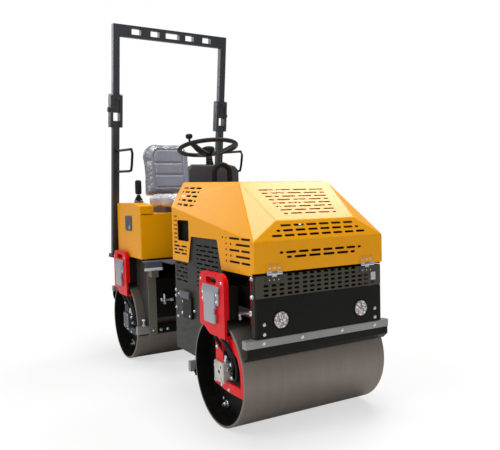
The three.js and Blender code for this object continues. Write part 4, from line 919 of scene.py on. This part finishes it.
# On the front frame's side plates, and on the rear frame's legs
SIDE = 385  # the plates' outer face
SIDE_BOLTS = (  # out from the plate, along, up, size
    *((0, *place, 8.5) for place in ((-113, 616), (-113, 581), (-161, 599), (-113, 509), (-216, 559),
                                     (-205, 488), (-138, 458), (-378, 525))),
    (0, -836, 713, 9), (16, -344, 490, 6.5), (0, -1041, 698, 11), (0, -1041, 786, 11))


def on_plate(sign, out, y, z):
    """A place by its distance out from a side plate."""
    return (sign * (SIDE + out), y, z)


for name, sign in SIDES:
    on_side = partial(on_plate, sign)
    for part, outline, out, surface, body, edge, segments in (
            ("side_buffer", rounded((-362, -240), (472, 600), 12), (0.2, 16), rubber, FRONT, 3.5, 3),
            ("buffer_cap", rounded((-340, -208), (585, 628), 10), (0.2, 20), latch_grey, FRONT, 3.5, 3),
            ("post_strip", rounded((-1035, -1027), (565, 790), 2), (0.2, 2.5), red_lens, FRONT, 0.6, 2),
            ("side_weld", [(-101, 355), (-101, 361), (-361, 436), (-361, 430)], (-0.4, 2), frame_grey, FRONT,
             0.8, 2),
            ("leg_strip", rounded((382, 390), (567, 684), 2), (3.2, 5.5), red_lens, REAR, 0.6, 2)):
        piece(f"{part}_{name}", plate(X, outline, [sign * (SIDE + v) for v in out]), surface, body, edge=edge,
              segments=segments)
    heads = [bolt(on_side(out, y, z), (sign, 0, 0), size) for out, y, z, size in SIDE_BOLTS]
    piece(f"side_bolts_{name}", merged(*heads), bright, FRONT)
    lock = [tube(bent([on_side(6, -1036, 622), on_side(8, -925, 606), on_side(8, -938, 574)], 14), 8, 16),
            rod(on_side(-0.5, -1036, 622), on_side(12, -1036, 622), 14, 24, 2),
            rod(on_side(-0.5, -930, 606), on_side(6, -930, 606), 9, 24, 1)]
    piece(f"bay_lock_{name}", lock, bright, FRONT)
    piece(f"leg_bolts_{name}", bolts([(sign * 360, 380, z) for z in (262, 655)], (0, -1, 0), 7), bright, REAR)

# A grease tee with its pipe on the rear frame's cross plate
tee = [rod((x0, 372, z0), (x1, 372, z1), *size) for x0, z0, x1, z1, *size in (
    (-298, 472, -210, 466, 8, 20, 1), (-276, 443, -276, 512, 10, 20, 1), (-304, 472, -286, 471, 14, 6, 2),
    (-232, 467, -212, 466, 13, 6, 2), (-276, 440, -276, 458, 14, 6, 2))]
piece("grease_tee", tee + [block((-288, -264), (366, 388.4), (462, 482))], bright, REAR)

# ---------------------------------------------------- engine, pump, lifting loop
blocks = [block((-half, half), y, z) for half, y, z in (
    (230, (-900, -360), (604.5, 760)), (205, (-880, -380), (760, 900)),
    (160, (-820, -440), (898, 960)), (120, (-800, -460), (958, 1008)))]
fins = [block((-158, 158), (y, y + 10), (896, 985)) for y in range(-800, -450, 34)]
pulley, oil_pipe = bar(Y, (150, 840), (-860, -899), 70, 40), bar(Y, (-110, 1000), (-700, -540), 9, 16)
piece("engine", [*blocks, *fins, pulley, oil_pipe], black, FRONT, ("engine_block",), edge=3)
heads = [(x, y, 1008) for x in (-95, 95) for y in (-780, -700, -620, -540, -480)]
piece("engine_cover_bolts", bolts(heads, (0, 0, 1), 7), black, FRONT)
necks = [bar(X, (-971, z), (-330, -298), 22, 24, 2) for z in (640, 850)]
piece("radiator", [block((-300, 300), (-1010, -932), (606, 880)), block((-285, 285), (-1004, -938), (878, 925)),
                   *necks], black, FRONT, edge=3)
canister = [bar(X, (-215, 1120), (-165, 165), 88, 40, 8), bar(X, (-215, 1120), (-172, -160), 94, 40, 2)]
piece("air_cleaner", [*canister, block((-60, 60), (-240, -190), (985, 1045)),
                      block((-130, 130), (-330, -130), (960, 990))], black, FRONT, edge=2)
for name, sign in SIDES:
    piece(f"air_box_{name}", block(sorted((sign * 318, sign * 350)), (-372, -122), (900, 1052)), black, FRONT,
          edge=3)
    # A dark sheet inside each side of the hood behind its front slots: painted shade for the hood's dark inside
    piece(f"hood_shade_sheet_{name}", plate(X, rounded((-1050, -775), (862, 980), 12), (sign * 382, sign * 388)),
          loop_paint, "hood", edge=1.5)
pump, (pump_x, pump_y, _) = span("hydraulic_pump"), middle("hydraulic_pump")
foot, top = pump[Z]
piece("oil_pump", [block(pump[X], pump[Y], (foot, foot + 126)),
                   bar(Z, (pump_x, pump_y), (foot + 120, top), 38, 40, 5)],
      black, FRONT, ("hydraulic_pump",), edge=3)

# The lifting loop: a bent tube with a bracket at each foot
TUBE, LOOP = 17, 56  # the tube's radius, and the bend's
loop = span("lifting_loop")
loop_y, (foot, top) = loop[Y][1] - TUBE, loop[Z]
crown = top - TUBE - LOOP
path = [(-LOOP, loop_y, foot), (-LOOP, loop_y, crown - 60)]
path += [(x, loop_y, z) for x, z in arc((0, crown), LOOP, 180, 0, 30)]
path += [(LOOP, loop_y, crown - 60), (LOOP, loop_y, foot)]
brackets = [block((sign * LOOP - 14, sign * LOOP + 14), (-104, loop_y - 6), (1085, 1170)) for _, sign in SIDES]
piece("loop_tube", tube(path, TUBE, 28), loop_paint, FRONT, ("lifting_loop",))
piece("loop_brackets", brackets, loop_paint, FRONT, edge=2)

# ----------------------------------------------------------------- rear body
reworked("seat_box", yellow, REAR, 3.0)
box = span("seat_box")
box_top = box[Z][1]
for name, sign in SIDES:
    console = copied(f"side_console_{name}_piece", f"side_console_{name}")
    for vertex in console.data.vertices:
        if vertex.co.z < (box_top + 3) * MM:
            vertex.co.z = (box_top - 20) * MM
        vertex.co.x += sign * 0.0002
    soften(console, 4, 3)
    cut(console, block(sorted((sign * 300, sign * 460)), (300, 960), (box_top - 60, box_top - 8)))
    finished(console, yellow, REAR, (f"side_console_{name}",))
    heads = [(sign * box[X][1], y, z) for y, z in ((701, 785), (533, 783))]
    piece(f"box_bolts_{name}", bolts(heads, (sign, 0, 0), 8), bright, REAR)

TANK_TOP, CAP = 1070, 51  # the tank's top and its cap's radius
tank = span("water_tank")
cap_x, cap_y, cap_height = 200, tank[Y][0] + 60, tank[Z][1] - TANK_TOP
filler = block((cap_x - 80, cap_x + 80), (cap_y - 80, cap_y + 80), (TANK_TOP + 0.4, 1200))
reworked("water_tank", yellow, REAR, 8.0, segments=4, cuts=(filler,))
cap = turned([(0, 0), (0, 46), (5, 46), (5, 52), (cap_height - 5, CAP), (cap_height, 46), (cap_height, 0)],
             (cap_x, cap_y, TANK_TOP), (0, 0, 1), 48)
grips = [bar(Z, (cap_x + u, cap_y + v), (TANK_TOP + 7, TANK_TOP + cap_height - 5), 3.6, 10, 1)
         for u, v in around(CAP, 24)]
piece("tank_cap", [cap, *grips], rubber, REAR)
# Painted reflection: the floor plate's step lip below 706.5 mm takes the white
repaint(reworked("floor_plate", floor_paint, REAR, 1.2), step_glint_white, lambda c: c.z < 706.5)
reworked("latch_plate", latch_grey, REAR, 1.5, segments=3)
latch = span("latch_plate")
piece("latch_lock", turned([(0, 0), (0, 13), (2, 13), (3.5, 11), (3.5, 6), (2, 5), (2, 0)],
                           (latch[X][0], latch[Y][0] + 36, latch[Z][0] + 24), (-1, 0, 0), 32), bright, REAR)

# ------------------------------------------------------------------ controls
dash = copied("dash", "steering_console")
low, high = (v * MM for v in span("steering_console")[Y])
for vertex in dash.data.vertices:
    if abs(vertex.co.x) > 0.1:
        vertex.co.x *= 1 - 0.3 * max(0, (vertex.co.y - low - 0.02) / (high - low - 0.02))
for sign in (1, -1):
    cut(dash, plate(Y, [(sign * 190, 1345), (sign * 190, 1420), (sign * 120, 1420)], (60, 300)))
soften(dash, 9, 4, 40)
finished(dash, plastic, REAR, ("steering_console",))

# Two gauges, a row of switches and a key on the dash's rear slope
FACE_UP, FACE_ALONG = Vector((0, 0.528, 0.849)), Vector((0, 0.849, -0.528))
FACE_MIDDLE = Vector((0, 195, 1366))


def on_dash(u, v, out=0.0):
    """A place on the dash's slope: u to the left, v down toward the driver, out from its face."""
    return FACE_MIDDLE + LEFT * u + FACE_ALONG * v + FACE_UP * out


def set_in(profile, u, sides=40):
    return turned(profile, on_dash(u, 4), FACE_UP, sides)


bezels, dials, needles = [], [], []
for u in (-62, 62):
    bezels.append(set_in([(-4, 0), (-4, 27), (3, 27), (6, 25), (6, 22.5), (2, 22), (2, 0)], u))
    dials.append(set_in([(1, 0), (1, 22.4), (2.6, 22.4), (2.6, 0)], u))
    needles.append(rod(on_dash(u, 4, 3.4), on_dash(u - 11, -8, 3.4), 1.0, 8))
    needles += [rod(on_dash(u + 16 * x, 4 - 16 * y, 2.9), on_dash(u + 20 * x, 4 - 20 * y, 2.9), 0.6, 6)
                for x, y in arc((0, 0), 1, -30, 210, 8)]
bezels.append(set_in([(-3, 0), (-3, 11), (5, 10), (5, 0)], 118, 32))
switches = [on_plane(rounded((u - 7, u + 7), (-18, 12), 2.5), FACE_MIDDLE, LEFT, -FACE_ALONG, 5)
            for u in (-20, 0, 20)]
key = [rod(on_dash(118, 4, low), on_dash(118, 4, high), *size)
       for low, high, *size in ((4, 18, 3, 16), (17, 21, 9, 24, 1))]
for name, shapes, surface, edge in (
        ("gauge_bezels", bezels, rubber, 0), ("gauge_faces", dials, dial_face, 0),
        ("gauge_needles", needles, rubber, 0), ("dash_switches", switches, rubber, 1),
        ("dash_key", key, bright, 0)):
    piece(name, shapes, surface, REAR, edge=edge)
reworked("seat_base", plastic, REAR, 3.0)

# The steering wheel, drawn flat round its own centre and then tilted
RIM, GRIP = 193, 14.5  # the rim's radius, and its tube's
WHEEL_AT, WHEEL_LEAN = (0, 190, 1510), -11  # the rim's centre, and its tilt in degrees
UPRIGHT = ((0, 0, 0), (0, 0, 1))
tilt = Matrix.Translation(WHEEL_AT) @ Matrix.Rotation(math.radians(WHEEL_LEAN), 4, "X")
rim = tube([(x, y, 0) for x, y in around(RIM, 120)], GRIP, 20, True)
hub = turned([(-60, 0), (-60, 20), (-54, 24), (-44, 40), (-18, 45), (-8, 45), (0, 40), (3, 32), (4, 0)],
             *UPRIGHT)
SPOKE = (  # out, up, half its width
    (20, -45, 32), (60, -42, 30), (110, -28, 26), (150, -11, 22), (176, -1, 19), (RIM, 0, 17))
spoke = [corner for r, z, w in SPOKE
         for corner in ((r, -w, z - 9), (r, w, z - 9), (r, w * 0.8, z + 7), (r, -w * 0.8, z + 7))]
spoke = shape(spoke, end_faces(len(SPOKE), 4) + ring_faces(len(SPOKE), 4))
spokes = [moved(spoke, Matrix.Rotation(math.radians(degrees), 4, "Z")) for degrees in (90, 210, 330)]
knob_x, knob_y = around(RIM, 1, 207)[0]
knob = [bar(Z, (knob_x, knob_y), (0, 40), 7, 20),
        turned([(34, 0), (34, 15), (38, 21), (44, 23), (54, 23), (60, 20), (62, 14), (62, 0)],
               (knob_x, knob_y, 0), (0, 0, 1), 36)]
piece("steering_wheel_rim", [moved(s, tilt) for s in (rim, hub, *knob)], rubber, "steering_wheel",
      ("steering_wheel",))
piece("steering_wheel_spokes", [moved(s, tilt) for s in spokes], rubber, "steering_wheel", edge=2.5, segments=3)
folds = [at for k in range(5) for at in ((-136 + 14 * k, 27 - 2 * k), (-129 + 14 * k, 30 - 2 * k))]
boot = [(-150, 0), (-150, 30), (-142, 33), *folds, (-66, 18), (-62, 14), (-62, 0)]
piece("column_boot", moved(turned(boot, *UPRIGHT, 40), tilt), rubber, REAR)

lever, (lever_x, lever_y, _) = span("travel_lever"), middle("travel_lever")
foot, top = lever[Z]
piece("lever_base", plate(Z, rounded(lever[X], lever[Y], 8), (foot, foot + 12)), plastic, REAR,
      ("travel_lever",), edge=2)
bellows = [(0, 0)] + [(4 + 5 * k, 30 - 2.6 * k + (4 if k % 2 else -2)) for k in range(9)] + [(50, 8), (50, 0)]
piece("lever_gaiter", turned(bellows, (lever_x, lever_y, foot + 11), (0, 0, 1), 40), rubber, REAR)
piece("lever_stem", rod((lever_x, lever_y, foot + 40), (lever_x - 2, lever_y - 5, foot + 72), 7, 20),
      bright, REAR)
grip = make("lever_grip", block((lever_x - 23, lever_x + 19), (lever_y - 25, lever_y + 15), (foot + 58, top)))
finished(soften(grip, 14, 5, 50), rubber, REAR)


# ---------------------------------------------------------------------- seat
DRAWN_IN, PUFF = 10, 16  # how far a pad starts inside its CAD cushion, and how far it may swell
FRAMES = 20


def plumped(name, node):
    """A seat pad: the CAD cushion drawn in a little and blown out like a stuffed cover."""
    obj = soften(copied(name, node), 24, 4, 50)
    centre = Vector(middle(node)) * MM
    scale = [1 - DRAWN_IN / ((high - low) / 2) for low, high in span(node)]
    for vertex in obj.data.vertices:
        for axis in range(3):
            vertex.co[axis] = centre[axis] + (vertex.co[axis] - centre[axis]) * scale[axis]
    modified(obj, "REMESH", mode="VOXEL", voxel_size=0.006)
    before = [vertex.co.copy() for vertex in obj.data.vertices]
    step = obj.modifiers.new("cloth", "CLOTH")
    step.settings.use_pressure = True
    step.settings.uniform_pressure_force = 4
    step.settings.effector_weights.gravity = 0
    step.point_cache.frame_start, step.point_cache.frame_end = 1, FRAMES
    for number in range(1, FRAMES + 1):
        scene.frame_set(number)
    settle(obj)
    scene.frame_set(1)
    for vertex, start in zip(obj.data.vertices, before):
        shift = vertex.co - start
        if shift.length > PUFF * MM:
            vertex.co = start + shift.normalized() * PUFF * MM
    return modified(obj, "SUBSURF", levels=1)


def furrow(distance, width):
    return math.exp(-(distance / width) ** 2)


def stitched(obj, to_local, depth_at):
    """Sinks a pad's surface along its seams; depth_at takes a place in the pad's own axes."""
    normals = [vertex.normal.copy() for vertex in obj.data.vertices]
    for vertex, normal in zip(obj.data.vertices, normals):
        vertex.co -= normal * depth_at(to_local @ (vertex.co / MM), normal) * MM


SEAM = 9  # the depth of a stitched channel


def cushion_depth(place, normal):
    """Side bolsters, an inner panel and two cross channels on the top of the cushion."""
    if normal.z < 0.2:
        return 0.0
    u, v, half = abs(place.x), place.y, 128
    fade = min(1.0, max(0.0, (normal.z - 0.2) / 0.4))
    panel = furrow(u - half, 7) if -170 < v < 165 else 0.0
    cross = max(furrow(v + 72, 8), furrow(v - 42, 8)) if u < half else 0.0
    edge = furrow(v + 168, 7) if u < 150 else 0.0
    dish = 9 * (1 - min(1.0, (u / half) ** 2))
    return fade * (SEAM * max(panel, cross, edge) + dish)


def back_depth(place, _):
    """An inner panel parted by two channels, between side bolsters, on the backrest's front."""
    if place.y > 30:
        return 0.0
    u, v, foot, top = abs(place.x), place.z, 52, 352
    half = 118 - max(0.0, v - 300) * 0.5
    panel = furrow(u - half, 7) if 50 < v < top else 0.0
    if u >= half:
        return SEAM * panel
    return SEAM * max(panel, furrow(v - 150, 8), furrow(v - 245, 8), furrow(v - top, 7), furrow(v - foot, 7))


BACK_FOOT, BACK_LEAN = (-20, 810, 1206), -12  # the backrest's foot, and its tilt in degrees
lean = Matrix.Translation(BACK_FOOT) @ Matrix.Rotation(math.radians(BACK_LEAN), 4, "X")
cushion = plumped("seat_cushion_pad", "seat_cushion")
flat = Matrix.Translation((*middle("seat_cushion")[:Z], 0))
stitched(cushion, flat.inverted(), cushion_depth)
back = plumped("seat_back_pad", "seat_back")
for vertex in back.data.vertices:
    place = lean.inverted() @ (vertex.co / MM)
    low = max(0.0, 1 - place.z / 260)
    place.x *= 1 + 0.05 * low
    place.z -= 16 * low
    vertex.co = lean @ place * MM
stitched(back, lean.inverted(), back_depth)
# The cushion takes the paler copy of the vinyl, which is painted light; the backrest takes the plain one
for pad, node, cover in ((cushion, "seat_cushion", seat_vinyl_lit), (back, "seat_back", seat_vinyl)):
    finished(pad, cover, REAR, (node,), 60)

# ------------------------------------------------------------------ roll bar
for name, _ in SIDES:
    reworked(f"rops_lower_post_{name}", bar_paint, REAR, 2.5, segments=3)
    reworked(f"grab_handle_{name}", black, REAR, 0, smooth=60)
reworked("rops_upper_frame", bar_paint, "roll_bar_top", 3.5, segments=3)


# ---------------------------------------------------------------------- stage
def camera_sees(tree):
    """1 where the camera looks at the surface, directly or through glass."""
    rays = add(tree, "LightPath").outputs
    return worked(tree, "MAXIMUM", rays["Is Camera Ray"], rays["Is Transmission Ray"])


FLOOR_GLOW = 0.62  # how white the floor looks beside the object, where its shadow still shows
WORLD_LIGHT = 0.38  # the studio's soft light, against 1 for the white backdrop that the camera sees
FLOOR_HALF, FLOOR_Z = 40000, -0.5
ground = bpy.data.materials.new("ground")
ground.use_nodes = True
tree = ground.node_tree
shader = tree.nodes["Principled BSDF"]
for key, value in {"Base Color": (0.86, 0.86, 0.86, 1), "Roughness": 0.95, "Specular IOR Level": 0.0}.items():
    shader.inputs[key].default_value = value
at = add(tree, "TexCoord").outputs["Object"]
away = add(tree, "VectorMath", {0: at}, operation="LENGTH").outputs["Value"]
far = ranged(tree, away, 1.2, 3.0, FLOOR_GLOW, 1.0, interpolation_type="SMOOTHSTEP")
white = worked(tree, "MULTIPLY", far, camera_sees(tree))
glow = add(tree, "Emission", {"Color": (1, 1, 1, 1), "Strength": 1.0}).outputs["Emission"]
both = add(tree, "MixShader", {0: white, 1: shader.outputs["BSDF"], 2: glow}).outputs[0]
tree.links.new(both, tree.nodes["Material Output"].inputs["Surface"])
corners = [(x * FLOOR_HALF, y * FLOOR_HALF, FLOOR_Z) for x, y in ((-1, -1), (1, -1), (1, 1), (-1, 1))]
floor = make("floor", shape(corners, [(0, 1, 2, 3)]))
floor.data.materials.append(ground)

world = bpy.data.worlds.new("studio")
scene.world = world
world.use_nodes = True
sky = world.node_tree
sky.nodes.clear()
strength = ranged(sky, camera_sees(sky), 0.0, 1.0, WORLD_LIGHT, 1.0)
background = add(sky, "Background", {"Color": (1, 1, 1, 1), "Strength": strength})
sky.links.new(background.outputs["Background"], add(sky, "OutputWorld").inputs["Surface"])

LAMPS = (  # name, place, size in metres, watts
    ("key", (-5.4, -1.2, 6.0), 3.5, 195),
    ("front_fill", (-0.5, -8.0, 2.6), 5.0, 40),
    ("overhead", (0.2, -0.5, 5.2), 1.8, 125),
    ("left_softbox", (3.2, 1.0, 5.2), 2.4, 130),
    ("rear_softbox", (-2.3, 5.7, 3.9), 3.0, 45),
)
for name, at, size, power in LAMPS:
    data = bpy.data.lights.new(name, "AREA")
    data.shape = "DISK"
    data.size = size
    data.energy = power
    obj = bpy.data.objects.new(name, data)
    obj.location = at
    obj.rotation_euler = (Vector((0, 0, 0.9)) - Vector(at)).to_track_quat("-Z", "Y").to_euler()
    scene.collection.objects.link(obj)

# --------------------------------------------------------------------- camera
CAMERA_AT = (-1.7288, -3.3815, 1.1768)
yaw, pitch, roll = math.radians(29.8), math.radians(-2.9), math.radians(-1.3)
forward = Vector((math.sin(yaw) * math.cos(pitch), math.cos(yaw) * math.cos(pitch), math.sin(pitch)))
level = Vector((math.cos(yaw), -math.sin(yaw), 0))
above = level.cross(forward)
right = level * math.cos(roll) + above * math.sin(roll)
up = above * math.cos(roll) - level * math.sin(roll)
camera_data = bpy.data.cameras.new("camera")
camera_data.lens = 41.58
camera_data.sensor_width = 36
camera_data.clip_start = 0.05
camera = bpy.data.objects.new("camera", camera_data)
scene.collection.objects.link(camera)
camera.matrix_world = Matrix([(right[i], up[i], -forward[i], CAMERA_AT[i]) for i in range(3)] + [(0, 0, 0, 1)])
scene.camera = camera
scene.view_settings.view_transform = "Standard"
